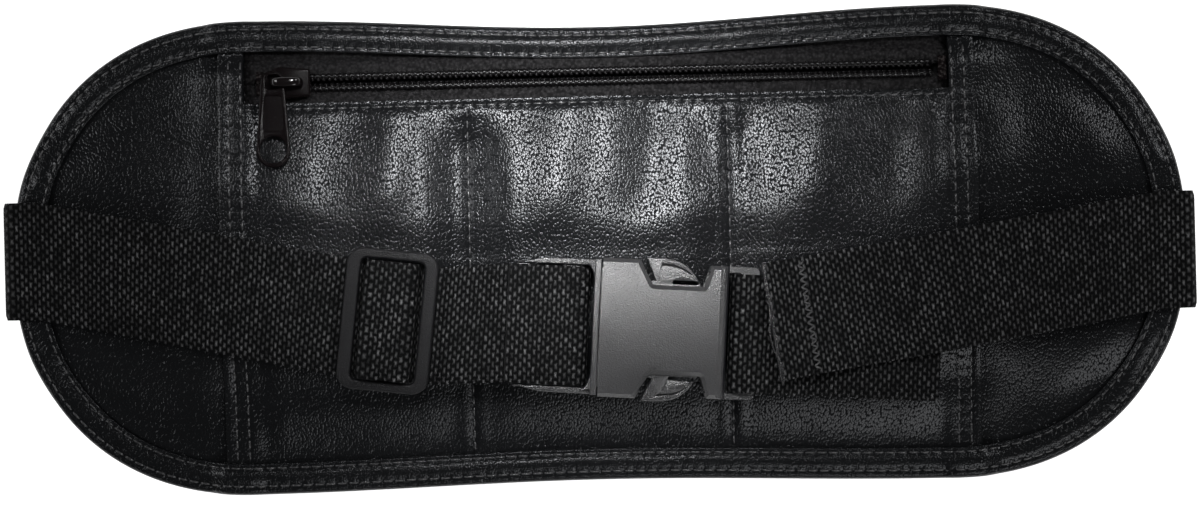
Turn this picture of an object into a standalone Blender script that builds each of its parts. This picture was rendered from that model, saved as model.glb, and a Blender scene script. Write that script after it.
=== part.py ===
"""Leather money belt, lying face up with its webbing strap buckled across the face.

Metres, +Z up, X along the pouch, +Y towards the zip. The origin is under the middle of the pouch.
"""

import math

import bmesh
import bpy
from mathutils import Matrix, Vector

# Clearances
CLEAR = 0.0003            # gap between pieces that touch
SIDE_CLEAR = 0.0003       # webbing edge to the metal or plastic that guides it

# Pouch
POUCH_LENGTH = 0.2550
POUCH_HEIGHT = 0.1032
END_DEPTH = 0.0515        # length of each rounded end
END_POWER = 2.2           # squareness of the ends, 2 is an ellipse
TOP_DIP = 0.0030          # how far the long edges are drawn in at the middle
BOTTOM_DIP = 0.0015
LEATHER = 0.0010
LINING = 0.0004
BINDING = 0.0006
BORDER = 0.0068           # width of the binding on each face
BINDING_ROUND = 0.0009
SEAM_PAST = 0.0060        # folded side edges of the pocket panel, past the start of the rounded ends
SEAM_LAP = 0.0048         # how far the pocket panel laps over the wings
CROWN = 0.0030            # rise of the empty pocket
QUILT_X = 0.0282          # sewn lines between the three compartments
QUILT_DIP = 0.55          # share of the rise that a sewn line holds down
SEAM_DIP = 0.60
VALLEY = 0.0085           # half width of a sewn valley

# Zip
ZIP_GAP = 0.0040          # chain centre below the binding
ZIP_LIP_DROP = 0.0044     # chain centre to the folded pocket edge
ZIP_SIDE = 0.0055         # ends of the zip opening to the folded side edges
TAPE = 0.0005
TAPE_WIDTH = 0.0108
TAPE_EDGE = 0.0010        # inner tape edge to the chain centre
TOOTH_PITCH = 0.00125
TOOTH_GAP = 0.0003
CHAIN_WIDTH = 0.0040
CHAIN_THICK = 0.0012
SPINE = 0.0009
SLIDER_IN = 0.0096        # slider's middle to the end of the opening
SLIDER_LENGTH = 0.0097
SLIDER_WIDE = 0.0070
SLIDER_NARROW = 0.0058
SLIDER_WALL = 0.0009
SLIDER_POST = 0.0014
STOP_LENGTH = 0.0018
STOP_WALL = 0.0006
BRIDGE_LENGTH = 0.0070
BRIDGE_HEIGHT = 0.0034
BRIDGE_WIDTH = 0.0018
BRIDGE_BAR = 0.0009

# Pull tab
TAB_LENGTH = 0.0186
TAB_NECK = 0.0052
TAB_END = 0.0074
TAB_THICK = 0.0010
TAB_HOLE = 0.0058
TAB_EYE = 0.0030

# Webbing
WEB_WIDTH = 0.0254
WEB = 0.0015
LEFT_Y = 0.0004           # where the strap rounds each end of the pouch
RIGHT_Y = -0.0030
SEWN_IN = 0.0175          # sewn ends behind the pouch, in from its ends
FOLD_X = 0.0040           # folds behind the pouch
CUT_PAST_BAR = 0.0032     # cut end of the right strap past the housing's bar
CUT_Y = -0.0164
CUT_TURN = math.radians(8.3)
FOLD_ROUND = 0.0020       # centre line of the web round the ends of the pouch

# Three bar adjuster
GLIDE_PLACE = (-0.0458, -0.0142)
GLIDE_TURN = math.radians(-7.0)
GLIDE_LENGTH = 0.0197
GLIDE_BAR = 0.0030
GLIDE_RAIL = 0.0022
GLIDE_THICK = 0.0025
GLIDE_ROUND = 0.0035
CENTRE_BAR = 0.0030
CENTRE_BAR_THICK = 0.0012
WEB_BEND = 0.0015         # centre line of the web over the centre bar

# Side release buckle, measured along its axis from the mouth of the housing
BUCKLE_PLACE = (-0.0003, -0.0166)
BUCKLE_TURN = math.radians(-4.1)
BUCKLE_WIDTH = 0.0297
HOUSING_LENGTH = 0.0270
HOUSING_THICK = 0.0080
HOUSING_EDGE = 0.0058     # thickness at the side edges
HOUSING_REAR = 0.0284     # width behind the windows
CAVITY_WIDTH = 0.0260
CAVITY_HEIGHT = 0.0052
CAVITY_WALL = 0.0024
WINDOW_DEPTH = 0.0053
WINDOW_START = 0.0080     # at the housing's side
WINDOW_END = 0.0040       # from the housing's rear, at its side
WINDOW_LEAN = 0.0028      # how much narrower the window is inside, at its front
WINDOW_LEAN_END = 0.0012
BAR_THICK = 0.0022
HOUSING_SLOT = 0.0029
HOUSING_BAR = 0.0036
PLUG_LENGTH = 0.0184
PLUG_END_BAR = 0.0028
PLUG_BAR_START = 0.0085
PLUG_BAR = 0.0035
PLUG_BASE = 0.0014
PLUG_RAIL_THICK = 0.0038
PLUG_BASE_THICK = 0.0064
PLUG_TAPER = 0.0008
SLOT_ROUND = 0.0016
TONGUE_GAP = 0.0026       # tongue's tip to the end of the cavity
TONGUE_WIDTH = 0.0044
TONGUE_THICK = 0.0032
ARM_PIVOT = (0.0019, 0.0072)
ARM_WIDTH = 0.0020
ARM_THICK = 0.0044
HEAD_PROUD = 0.0005       # latch heads beyond the housing's side
HEAD_RIM = 0.0011
HEAD_RECESS = 0.0008

# Loop that ties the housing to the strap, measured like the buckle
LOOP_UPPER = 0.0125       # tails past the housing's bar
LOOP_LOWER = 0.0400
LOOP_SETTLE = 0.0090
LOOP_EASE = 0.0040
CUT_DROP = 0.0100         # the strap comes down off the loop's upper tail, and then onto its lower one
CUT_SETTLE = 0.0190

# Mesh fineness
ARC_STEPS = 5
END_STEPS = 20
EDGE_STEPS = 14
POCKET_ROWS = 15

# Places worked out from the sizes above
END_X = POUCH_LENGTH / 2 - END_DEPTH
SEAM_X = END_X + SEAM_PAST
WING_X = SEAM_X - SEAM_LAP
ZIP_HALF = SEAM_X - ZIP_SIDE
SLIDER_X = SLIDER_IN - ZIP_HALF
SEWN_END_X = POUCH_LENGTH / 2 - SEWN_IN
CAVITY_DEPTH = HOUSING_LENGTH - CAVITY_WALL
WINDOW_OUTER = (WINDOW_START, HOUSING_LENGTH - WINDOW_END)
WINDOW_INNER = (WINDOW_START + WINDOW_LEAN, HOUSING_LENGTH - WINDOW_END - WINDOW_LEAN_END)
TONGUE_LENGTH = CAVITY_DEPTH - TONGUE_GAP
BAR_START = HOUSING_LENGTH + HOUSING_SLOT
BAR_END = BAR_START + HOUSING_BAR
CUT_END = (BUCKLE_PLACE[0] + BAR_END + CUT_PAST_BAR, CUT_Y)

# Levels worked out from the sizes above
LOW_WEB = WEB / 2
HIGH_WEB = LOW_WEB + WEB + CLEAR
BACK_LEVEL = BINDING + CLEAR
LIFT = HIGH_WEB + WEB / 2 + CLEAR - BACK_LEVEL
FRONT_LEVEL = BACK_LEVEL + LEATHER + CLEAR
BINDING_LEVEL = FRONT_LEVEL + LEATHER + 1.5 * CLEAR
POCKET_SEAT = LINING + CLEAR
LAP = LEATHER + 1.5 * CLEAR
SLIDER_LEVEL = FRONT_LEVEL + LINING + CLEAR
TAPE_LEVEL = SLIDER_LEVEL + SLIDER_WALL + CLEAR
TOOTH_LEVEL = TAPE_LEVEL + TAPE + CLEAR
SLIDER_TOP = TOOTH_LEVEL + CHAIN_THICK + CLEAR + SLIDER_WALL
LIP_RISE = TAPE_LEVEL + TAPE + CLEAR - FRONT_LEVEL - POCKET_SEAT
ZIP_Y = POUCH_HEIGHT / 2 - TOP_DIP - BORDER - ZIP_GAP
LIP_Y = ZIP_Y - ZIP_LIP_DROP
INSET = BINDING + CLEAR
STRAP_Y = (LEFT_Y + RIGHT_Y) / 2
PLATEAU = WEB_WIDTH / 2 + abs(LEFT_Y - RIGHT_Y) / 2 + 0.0026
DRAPE_RUN = 0.0140
SEAM_BLEND = 0.0040
PUFF_END = SEAM_X + 0.0130
PUFF_RUN = 0.0180
TOP_RUN = 0.0060
FOOT_RUN = 0.0140
CROWN_RUN = 0.0200
SEWN_DROP = 0.0075        # sewn lines begin this far below the folded pocket edge
SEWN_RUN = 0.0080
TAPE_FALL_START = SLIDER_NARROW / 2 + CLEAR
TAPE_FALL = 0.0026
WEB_STEP = WEB + CLEAR
FACE_TOP = LIFT + FRONT_LEVEL + POCKET_SEAT + CROWN + LEATHER
END_WEB = LIFT + BINDING_LEVEL + BINDING + CLEAR + WEB / 2
RETURN_WEB = FACE_TOP + CLEAR + WEB / 2
RUNNING_WEB = RETURN_WEB + WEB_STEP
GLIDE_Z = RUNNING_WEB + WEB / 2 + CLEAR + GLIDE_THICK / 2
BUCKLE_Z = FACE_TOP + CLEAR + HOUSING_THICK / 2
GUIDE_HALF = WEB_WIDTH / 2 + SIDE_CLEAR
BAR_WRAP = BAR_THICK / 2 + CLEAR + WEB / 2
WRAP_REACH = BAR_WRAP - BAR_THICK / 5    # centre line of a web past the bar it goes round
TRAVEL_END_X = ZIP_HALF - STOP_LENGTH - 2 * CLEAR


def smooth(value):
    """Eased step from 0 to 1."""
    value = min(max(value, 0.0), 1.0)
    return value * value * (3 - 2 * value)


def mix(low, high, share):
    return low + (high - low) * share


# Scene helpers


def clear_scene():
    for obj in list(bpy.data.objects):
        bpy.data.objects.remove(obj, do_unlink=True)


def new_collection(name):
    collection = bpy.data.collections.new(name)
    bpy.context.scene.collection.children.link(collection)
    return collection


def new_material(name, colour, roughness, metallic=0.0):
    material = bpy.data.materials.new(name)
    material.use_nodes = True
    shader = material.node_tree.nodes["Principled BSDF"]
    shader.inputs["Base Color"].default_value = (*colour, 1.0)
    shader.inputs["Roughness"].default_value = roughness
    shader.inputs["Metallic"].default_value = metallic
    return material


def new_empty(name, place, turn=0.0, tilt=0.0):
    """A placing empty, turned about Z and then tilted about its own X."""
    empty = bpy.data.objects.new(name, None)
    PARTS.objects.link(empty)
    empty.location = place
    empty.rotation_euler = (tilt, 0.0, turn)
    return empty


def new_part(name, mesh, material, parent=None):
    obj = bpy.data.objects.new(name, mesh)
    PARTS.objects.link(obj)
    mesh.materials.append(material)
    obj.parent = parent
    return obj


def as_cutter(obj):
    PARTS.objects.unlink(obj)
    CUTTERS.objects.link(obj)
    obj.hide_render = True
    obj.display_type = "WIRE"
    return obj


def boolean(obj, other, operation):
    modifier = obj.modifiers.new(operation.lower() + "_" + other.name, "BOOLEAN")
    modifier.operation = operation
    modifier.object = as_cutter(other)


def grid_mesh(name, rows, cut_out=None):
    """Quads through rows of points. cut_out(row, column) drops a cell."""
    shape = bmesh.new()
    points = [[shape.verts.new(point) for point in row] for row in rows]
    for r in range(len(rows) - 1):
        for c in range(len(rows[0]) - 1):
            if cut_out is None or not cut_out(r, c):
                shape.faces.new((points[r][c], points[r][c + 1], points[r + 1][c + 1], points[r + 1][c]))
    loose = [vert for vert in shape.verts if not vert.link_faces]
    bmesh.ops.delete(shape, geom=loose, context="VERTS")
    mesh = bpy.data.meshes.new(name)
    shape.to_mesh(mesh)
    shape.free()
    return mesh


def sheet(name, rows, thickness, material, offset=1.0, cut_out=None):
    """A panel of even thickness over rows of points that run along X, lowest Y first."""
    obj = new_part(name, grid_mesh(name, rows, cut_out), material)
    modifier = obj.modifiers.new("thickness", "SOLIDIFY")
    modifier.thickness = thickness
    modifier.offset = offset
    modifier.use_even_offset = True
    return obj


def box(name, low, high, material, parent=None):
    shape = bmesh.new()
    bmesh.ops.create_cube(shape, size=1.0)
    size = Vector(high) - Vector(low)
    middle = (Vector(high) + Vector(low)) / 2
    bmesh.ops.scale(shape, vec=size, verts=shape.verts)
    bmesh.ops.translate(shape, vec=middle, verts=shape.verts)
    mesh = bpy.data.meshes.new(name)
    shape.to_mesh(mesh)
    shape.free()
    return new_part(name, mesh, material, parent)


def plate(name, loops, half, material, parent=None, level=0.0, round_edge=0.0, matrix=None):
    """A flat plate from closed outlines, the first one outside and the rest holes, made a mesh."""
    curve = bpy.data.curves.new(name, "CURVE")
    curve.dimensions = "2D"
    curve.fill_mode = "BOTH"
    curve.extrude = half - round_edge
    curve.bevel_depth = round_edge
    curve.bevel_resolution = 1
    curve.offset = -round_edge
    for loop in loops:
        spline = curve.splines.new("POLY")
        spline.points.add(len(loop) - 1)
        for point, (x, y) in zip(spline.points, loop):
            point.co = (x, y, 0.0, 1.0)
        spline.use_cyclic_u = True
    guide = bpy.data.objects.new(name, curve)
    PARTS.objects.link(guide)
    bpy.context.view_layer.update()
    graph = bpy.context.evaluated_depsgraph_get()
    mesh = bpy.data.meshes.new_from_object(guide.evaluated_get(graph))
    bpy.data.objects.remove(guide)
    shape = bmesh.new()
    shape.from_mesh(mesh)
    bmesh.ops.remove_doubles(shape, verts=shape.verts, dist=1e-6)
    bmesh.ops.recalc_face_normals(shape, faces=shape.faces)
    bmesh.ops.transform(shape, matrix=matrix or Matrix.Identity(4), verts=shape.verts)
    shape.to_mesh(mesh)
    shape.free()
    mesh.materials.clear()
    obj = new_part(name, mesh, material, parent)
    obj.location.z = level
    return obj


def shade_smooth(obj, angle=35.0):
    obj.data.shade_smooth()
    obj.data.set_sharp_from_angle(angle=math.radians(angle))


# Outlines


def arc(centre, radius, start, end, steps):
    """Points on a circle, with angles in degrees."""
    points = []
    for i in range(steps + 1):
        angle = math.radians(mix(start, end, i / steps))
        points.append((centre[0] + radius * math.cos(angle), centre[1] + radius * math.sin(angle)))
    return points


def rounded_box(low, high, radius, steps=ARC_STEPS):
    """A rectangle with round corners, counter-clockwise."""
    points = []
    corners = ((high[0], high[1], 0), (low[0], high[1], 90), (low[0], low[1], 180), (high[0], low[1], 270))
    for x, y, start in corners:
        centre = (x - math.copysign(radius, x - (low[0] + high[0]) / 2),
                  y - math.copysign(radius, y - (low[1] + high[1]) / 2))
        points += arc(centre, radius, start, start + 90, steps)
    return points


def rounded_path(corners, steps=ARC_STEPS):
    """Points along straight runs, with each corner (a, b, radius) turned into an arc."""
    path = [corners[0][:2]]
    for before, here, after in zip(corners, corners[1:], corners[2:]):
        corner = Vector(here[:2])
        back = (Vector(before[:2]) - corner).normalized()
        on = (Vector(after[:2]) - corner).normalized()
        half = back.angle(on) / 2
        reach = here[2] / math.tan(half)
        centre = corner + (back + on).normalized() * (here[2] / math.sin(half))
        first = corner + back * reach - centre
        swing = first.angle_signed(corner + on * reach - centre)
        for i in range(steps + 1):
            turned = first.copy()
            turned.rotate(Matrix.Rotation(-swing * i / steps, 2))
            path.append(tuple(centre + turned))
    path.append(corners[-1][:2])
    return path


# Pouch surfaces


def draw_in(x, side):
    """How far the long edge on this side is drawn in at x."""
    dip = TOP_DIP if side > 0 else BOTTOM_DIP
    if abs(x) >= END_X:
        return 0.0
    return dip * math.cos(math.pi * x / (2 * END_X)) ** 2


def end_point(side, angle, inset=0.0):
    """Point on the rounded end, from -90 degrees at the bottom edge to 90 at the top."""
    across = math.cos(math.radians(angle))
    up = math.sin(math.radians(angle))
    power = 2 / END_POWER
    x = END_X + (END_DEPTH - inset) * abs(across) ** power
    y = (POUCH_HEIGHT / 2 - inset) * math.copysign(abs(up) ** power, up)
    return side * x, y


def edge_y(x, side, inset=0.0):
    """Long edge of the pouch at x, with side 1 at the zip and -1 opposite."""
    half = POUCH_HEIGHT / 2 - inset
    past = (abs(x) - END_X) / (END_DEPTH - inset)
    if past > 0:
        half *= max(1 - past ** END_POWER, 0.0) ** (1 / END_POWER)
    return side * (half - draw_in(x, side))


def end_angle(x):
    """Angle of the rounded end's upper point at x."""
    return math.degrees(math.acos(((x - END_X) / END_DEPTH) ** (END_POWER / 2)))


def end_angles():
    """Angles of the binding's stations, with one each side of the step where the pocket panel ends."""
    before = end_angle(SEAM_X + CLEAR)
    after = end_angle(SEAM_X + SEAM_BLEND + CLEAR)
    return [-90, -before] + [mix(-after, after, i / END_STEPS) for i in range(END_STEPS + 1)] + [before]


def outline(inset=0.0):
    """The pouch's outline, counter-clockwise from the bottom right."""
    points = [end_point(1, angle, inset) for angle in end_angles()]
    for i in range(EDGE_STEPS):
        x = mix(END_X, -END_X, i / EDGE_STEPS)
        points.append((x, edge_y(x, 1, inset)))
    points += [end_point(-1, -angle, inset) for angle in end_angles()]
    for i in range(EDGE_STEPS):
        x = mix(-END_X, END_X, i / EDGE_STEPS)
        points.append((x, edge_y(x, -1, inset)))
    return points


def base(y):
    """Height that the pouch is lifted by the strap folded under it."""
    return LIFT * (1 - smooth((abs(y - STRAP_Y) - PLATEAU) / DRAPE_RUN))


def valley(distance):
    return smooth(1 - abs(distance) / VALLEY)


def puff(x, y):
    """Rise of the face above its flat layer, held down at the seams and the sewn lines."""
    ends = smooth((PUFF_END - abs(x)) / PUFF_RUN)
    top = smooth((edge_y(x, 1) - BORDER - y) / TOP_RUN)
    foot = smooth((y - edge_y(x, -1) - BORDER) / FOOT_RUN)
    rise = mix(LIP_RISE, CROWN, smooth((LIP_Y - y) / CROWN_RUN))
    sewn = smooth((LIP_Y - SEWN_DROP - y) / SEWN_RUN)
    hold = QUILT_DIP * valley(abs(x) - QUILT_X) + SEAM_DIP * valley(abs(x) - SEAM_X + SEAM_LAP / 2)
    return ends * top * foot * rise * (1 - sewn * hold)


def lap_over(x):
    """Height of the pocket panel above the layer that the wings lie in."""
    inner = smooth((abs(x) - WING_X + SEAM_BLEND + CLEAR) / SEAM_BLEND)
    outer = 1 - smooth((abs(x) - SEAM_X - CLEAR) / SEAM_BLEND)
    return mix(POCKET_SEAT, LAP, inner) * outer


def face_top(x, y):
    """Upper side of the pocket panel."""
    return base(y) + FRONT_LEVEL + lap_over(x) + puff(x, y) + LEATHER


def spread(stops, step):
    """Values through the stops, divided so that no gap is much over step."""
    values = [stops[0]]
    for low, high in zip(stops, stops[1:]):
        count = max(1, round((high - low) / step))
        values += [mix(low, high, (i + 1) / count) for i in range(count)]
    return values


# Pouch pieces


def back_panel():
    rows = []
    row_count = 26
    column_count = 10
    for r in range(row_count + 1):
        angle = mix(-90, 90, r / row_count)
        x, y = end_point(1, angle, INSET)
        row = []
        for c in range(column_count + 1):
            along = mix(-x, x, c / column_count)
            drawn = y - math.copysign(draw_in(along, y), y) * abs(y) / (POUCH_HEIGHT / 2 - INSET)
            row.append((along, drawn, base(drawn) + BACK_LEVEL))
        rows.append(row)
    return sheet("back_panel", rows, LEATHER, LEATHER_MATERIAL)


def wing(name, side):
    """One end of the face, from under the pocket panel's side edge to the rounded end."""
    rows = []
    row_count = 22
    column_count = 9
    for r in range(row_count + 1):
        angle = mix(-90, 90, r / row_count)
        end_x, end_y = end_point(1, angle, INSET)
        seam_y = edge_y(WING_X, 1, INSET) * end_y / (POUCH_HEIGHT / 2 - INSET)
        row = []
        for c in range(column_count + 1):
            share = c / column_count
            x = mix(WING_X, max(end_x, WING_X + CLEAR * 4 * share), share)
            y = mix(seam_y, end_y, share)
            y = math.copysign(min(abs(y), edge_y(x, 1, INSET)), y)
            row.append((side * x, y, base(y) + FRONT_LEVEL + puff(x, y)))
        rows.append(row if side > 0 else row[::-1])
    return sheet(name, rows, LEATHER, LEATHER_MATERIAL)


def pocket_front():
    """The pocket panel: puffed compartments below the zip, and a strip up each side of it."""
    half = [0.0, QUILT_X - VALLEY, QUILT_X, QUILT_X + VALLEY, WING_X - SEAM_BLEND, ZIP_HALF, SEAM_X]
    columns = spread([-x for x in half[:0:-1]] + half, 0.0056)
    rows = []
    shares = [0.0] + [i / POCKET_ROWS for i in range(POCKET_ROWS + 1)]
    lip_row = len(shares) - 1
    strip_shares = [0.4, 0.7, 1.0]
    for r in range(len(shares) + len(strip_shares) + 1):
        row = []
        for x in columns:
            foot = edge_y(x, -1, INSET)
            head = edge_y(x, 1, INSET)
            if r == 0:
                y = foot
            elif r <= lip_row:
                y = mix(foot + BORDER, LIP_Y, shares[r])
            elif r <= lip_row + len(strip_shares):
                y = mix(LIP_Y, head - BORDER, strip_shares[r - lip_row - 1])
            else:
                y = head
            row.append((x, y, base(y) + FRONT_LEVEL + lap_over(x) + puff(x, y)))
        rows.append(row)

    def in_opening(r, c):
        middle = (columns[c] + columns[c + 1]) / 2
        return r >= lip_row and abs(middle) < ZIP_HALF

    return sheet("pocket_front", rows, LEATHER, LEATHER_MATERIAL, cut_out=in_opening)


def pocket_lining():
    columns = spread([-ZIP_HALF, 0.0, ZIP_HALF], 0.0190)
    top = ZIP_Y + TAPE_FALL_START
    row_count = 16
    rows = []
    for r in range(row_count + 1):
        row = []
        for x in columns:
            y = mix(edge_y(x, -1) + BORDER, top, r / row_count)
            row.append((x, y, base(y) + FRONT_LEVEL))
        rows.append(row)
    return sheet("pocket_lining", rows, LINING, LINING_MATERIAL)


def edge_binding():
    """A strip folded round the whole edge, a flange on each face."""
    points = outline()
    half = BINDING / 2
    section = [(BORDER, 0), (BORDER / 2, 0), (BINDING_ROUND, 0), (half, BINDING_ROUND - half)]
    rows = []
    for i in range(len(points) + 1):
        here = Vector(points[i % len(points)])
        ahead = Vector(points[(i + 1) % len(points)]) - Vector(points[i - 1])
        inward = Vector((-ahead.y, ahead.x)).normalized()
        lower = []
        upper = []
        for depth, rise in section:
            x, y = here + inward * depth
            low = base(y) + half
            high = base(y) + BINDING_LEVEL + lap_over(x) + half
            lower.append((x, y, low + rise))
            upper.append((x, y, high - rise))
        rows.append(lower + upper[::-1])
    obj = sheet("edge_binding", rows, BINDING, BINDING_MATERIAL, offset=0.0)
    shape = bmesh.new()
    shape.from_mesh(obj.data)
    bmesh.ops.remove_doubles(shape, verts=shape.verts, dist=1e-6)
    bmesh.ops.recalc_face_normals(shape, faces=shape.faces)
    shape.to_mesh(obj.data)
    shape.free()
    return obj


# Zip


def zip_tape(name, side):
    """Side 1 runs up under the binding, side -1 down behind the pocket panel."""
    columns = spread([-ZIP_HALF, 0.0, ZIP_HALF], 0.0190)
    row_count = 9
    rows = []
    for r in range(row_count + 1):
        row = []
        for x in columns:
            away = mix(TAPE_EDGE, TAPE_EDGE + TAPE_WIDTH, r / row_count)
            fall = smooth((away - TAPE_FALL_START) / TAPE_FALL) if side > 0 else 0.0
            y = ZIP_Y + side * away
            y = min(y, edge_y(x, 1, INSET))
            row.append((x, y, base(y) + mix(TAPE_LEVEL, FRONT_LEVEL, fall)))
        rows.append(row)
    return sheet(name, rows if side > 0 else rows[::-1], TAPE, TAPE_MATERIAL)


def zip_teeth(name, side):
    """One row of the chain: a spine with teeth that reach past the centre line between the other row's."""
    first = SLIDER_X + SLIDER_LENGTH / 2 - 2 * TOOTH_PITCH
    outer = CHAIN_WIDTH / 2
    root = outer - SPINE
    tip = -(root - TOOTH_GAP)
    width = TOOTH_PITCH / 2 - TOOTH_GAP
    count = int((TRAVEL_END_X - first) / TOOTH_PITCH)
    shift = 0.0 if side > 0 else TOOTH_PITCH / 2
    comb = []
    for i in range(count):
        x = first + shift + i * TOOTH_PITCH
        comb += [(x, root), (x, tip), (x + width, tip), (x + width, root)]
    last = comb[-1][0]
    loop = comb[1:-1] + [(last, outer), (comb[0][0], outer)]
    loop = [(x, ZIP_Y + side * y) for x, y in loop]
    return plate(name, [loop], CHAIN_THICK / 2, TEETH_MATERIAL, level=TOOTH_LEVEL + CHAIN_THICK / 2)


def zip_stop(name, x, sides):
    """A crimped stop over the inner edges of the tapes, with a slot for each tape it holds."""
    reach = CHAIN_WIDTH / 2 + STOP_WALL
    gap = TAPE_EDGE - CLEAR
    low = -reach if -1 in sides else gap - STOP_WALL
    high = reach if 1 in sides else -gap + STOP_WALL
    bottom = TAPE_LEVEL - CLEAR - STOP_WALL
    top = TAPE_LEVEL + TAPE + CLEAR + STOP_WALL
    obj = box(name, (x, ZIP_Y + low, bottom), (x + STOP_LENGTH, ZIP_Y + high, top), METAL_MATERIAL)
    for side in sides:
        span = sorted((ZIP_Y + side * gap, ZIP_Y + side * (reach + STOP_WALL)))
        slot = box(name + "_slot", (x - STOP_WALL, span[0], TAPE_LEVEL - CLEAR),
                   (x + STOP_LENGTH + STOP_WALL, span[1], TAPE_LEVEL + TAPE + CLEAR), METAL_MATERIAL)
        boolean(obj, slot, "DIFFERENCE")
    return obj


def slider_body(carrier):
    """Two shield-shaped plates joined by the dividing post, with flanges that guide the chain."""
    half = SLIDER_LENGTH / 2
    wide = SLIDER_WIDE / 2
    narrow = SLIDER_NARROW / 2
    shoulder = arc((-half + wide, 0), wide, 90, 270, 10)
    loop = [(half, -narrow), (half, narrow)] + shoulder
    tall = (SLIDER_TOP - SLIDER_LEVEL) / 2
    middle = (SLIDER_TOP + SLIDER_LEVEL) / 2
    obj = plate("zip_slider_body", [loop], tall, METAL_MATERIAL, carrier, middle, round_edge=SLIDER_WALL / 3)
    guide = CHAIN_WIDTH / 2 + CLEAR
    channel_low = SLIDER_LEVEL + SLIDER_WALL
    channel_high = SLIDER_TOP - SLIDER_WALL
    channel = box("slider_channel", (-SLIDER_LENGTH, -guide, channel_low),
                  (SLIDER_LENGTH, guide, channel_high), METAL_MATERIAL, carrier)
    boolean(obj, channel, "DIFFERENCE")
    tape_slot = box("slider_tape_slot", (-SLIDER_LENGTH, -SLIDER_LENGTH, channel_low),
                    (SLIDER_LENGTH, SLIDER_LENGTH, TOOTH_LEVEL), METAL_MATERIAL, carrier)
    boolean(obj, tape_slot, "DIFFERENCE")
    post_start = -half + SLIDER_POST
    post = plate("slider_post", [[(post_start, -SLIDER_POST / 2), (post_start + SLIDER_POST, 0.0),
                                  (post_start, SLIDER_POST / 2), (post_start - SLIDER_POST / 2, 0.0)]],
                 tall - SLIDER_WALL / 2, METAL_MATERIAL, carrier, middle)
    boolean(obj, post, "UNION")
    return obj


def slider_bridge(carrier):
    """Low arch along the slider, whose left leg carries the pull tab."""
    half = BRIDGE_LENGTH / 2
    corner = BRIDGE_HEIGHT * 0.4
    foot = SLIDER_TOP + CLEAR
    top = foot + BRIDGE_HEIGHT
    outer = rounded_path([(-half, foot), (-half, top, corner), (half, top, corner), (half, foot)])
    inner = rounded_path([(half - BRIDGE_BAR, foot), (half - BRIDGE_BAR, top - BRIDGE_BAR, corner - BRIDGE_BAR / 2),
                          (-half + BRIDGE_BAR, top - BRIDGE_BAR, corner - BRIDGE_BAR / 2),
                          (-half + BRIDGE_BAR, foot)])
    upright = Matrix.Rotation(math.pi / 2, 4, "X")
    obj = plate("slider_bridge", [outer + inner], BRIDGE_WIDTH / 2, METAL_MATERIAL, carrier, matrix=upright)
    shade_smooth(obj)
    return obj


def tab_slope(eye_x):
    """Slope that lays the far end of the pull tab on the pocket."""
    steepest = 0.0
    for i in range(1, 13):
        away = TAB_LENGTH * i / 12
        for x in (eye_x - TAB_END / 2, eye_x, eye_x + TAB_END / 2):
            rise = face_top(x, ZIP_Y - away) - SLIDER_TOP
            steepest = max(steepest, rise / away)
    return math.atan(steepest)


def pull_tab(carrier, eye_x):
    """Flat pull, its eye round the left leg of the bridge and a round finger hole at its end."""
    end_radius = TAB_END / 2
    neck = TAB_NECK / 2
    end_centre = (0.0, end_radius - TAB_LENGTH)
    loop = arc((0, 0), neck, 0, 180, 8) + arc(end_centre, end_radius, 180, 360, 14)
    hole_centre = (0.0, end_centre[1] + (end_radius - TAB_HOLE / 2) / 4)
    hole = arc(hole_centre, TAB_HOLE / 2, 360, 20, 17)
    eye = rounded_box((-TAB_EYE / 2, -TAB_EYE / 2), (TAB_EYE / 2, TAB_EYE / 2), TAB_EYE / 4, 3)
    hinge = new_empty("pull_pivot", (eye_x, ZIP_Y, SLIDER_TOP + CLEAR), tilt=-tab_slope(eye_x))
    hinge.parent = carrier
    hinge.location = (eye_x - SLIDER_X, 0.0, SLIDER_TOP + CLEAR)
    level = TAB_THICK / 2 + CLEAR
    obj = plate("pull_tab", [loop, eye, hole], TAB_THICK / 2, METAL_MATERIAL, hinge, level,
                round_edge=TAB_THICK / 5)
    shade_smooth(obj)
    return obj


# Webbing


def local_stations(path, place, turn):
    """(along, height) points of a hardware frame as (x, y, z, turn) stations."""
    stations = []
    for along, height in path:
        x = place[0] + along * math.cos(turn)
        y = place[1] + along * math.sin(turn)
        stations.append((x, y, height, turn))
    return stations


def joined(*runs):
    """Runs of stations in one list, with the long straight spans divided."""
    stations = [station for run in runs for station in run]
    longest = 0.0080
    result = [stations[0]]
    for before, here in zip(stations, stations[1:]):
        span = (Vector(here[:3]) - Vector(before[:3])).length
        count = max(1, math.ceil(span / longest)) if before[3] != here[3] else 1
        for i in range(count):
            result.append(tuple(mix(a, b, (i + 1) / count) for a, b in zip(before, here)))
    return result


def web(name, stations):
    """A ribbon of webbing through the stations, its width level and square to each turn."""
    half = WEB_WIDTH / 2
    rows = []
    for x, y, z, turn in stations:
        across = Vector((-math.sin(turn), math.cos(turn), 0.0)) * half
        centre = Vector((x, y, z))
        rows.append((tuple(centre + across), tuple(centre - across)))
    return sheet(name, rows, WEB, WEB_MATERIAL, offset=0.0)


def round_the_end(side, y):
    """Stations from the sewn end behind the pouch, through its fold and round the pouch's end to the face."""
    reach = POUCH_LENGTH / 2 + CLEAR + WEB / 2
    fold = WEB_STEP / 2
    corners = [(SEWN_END_X, HIGH_WEB), (FOLD_X, HIGH_WEB, fold), (FOLD_X, LOW_WEB, fold),
               (reach, LOW_WEB, FOLD_ROUND), (reach, END_WEB, FOLD_ROUND), (reach - BORDER, END_WEB)]
    return [(side * along, y, height, 0.0) for along, height in rounded_path(corners)]


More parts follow.
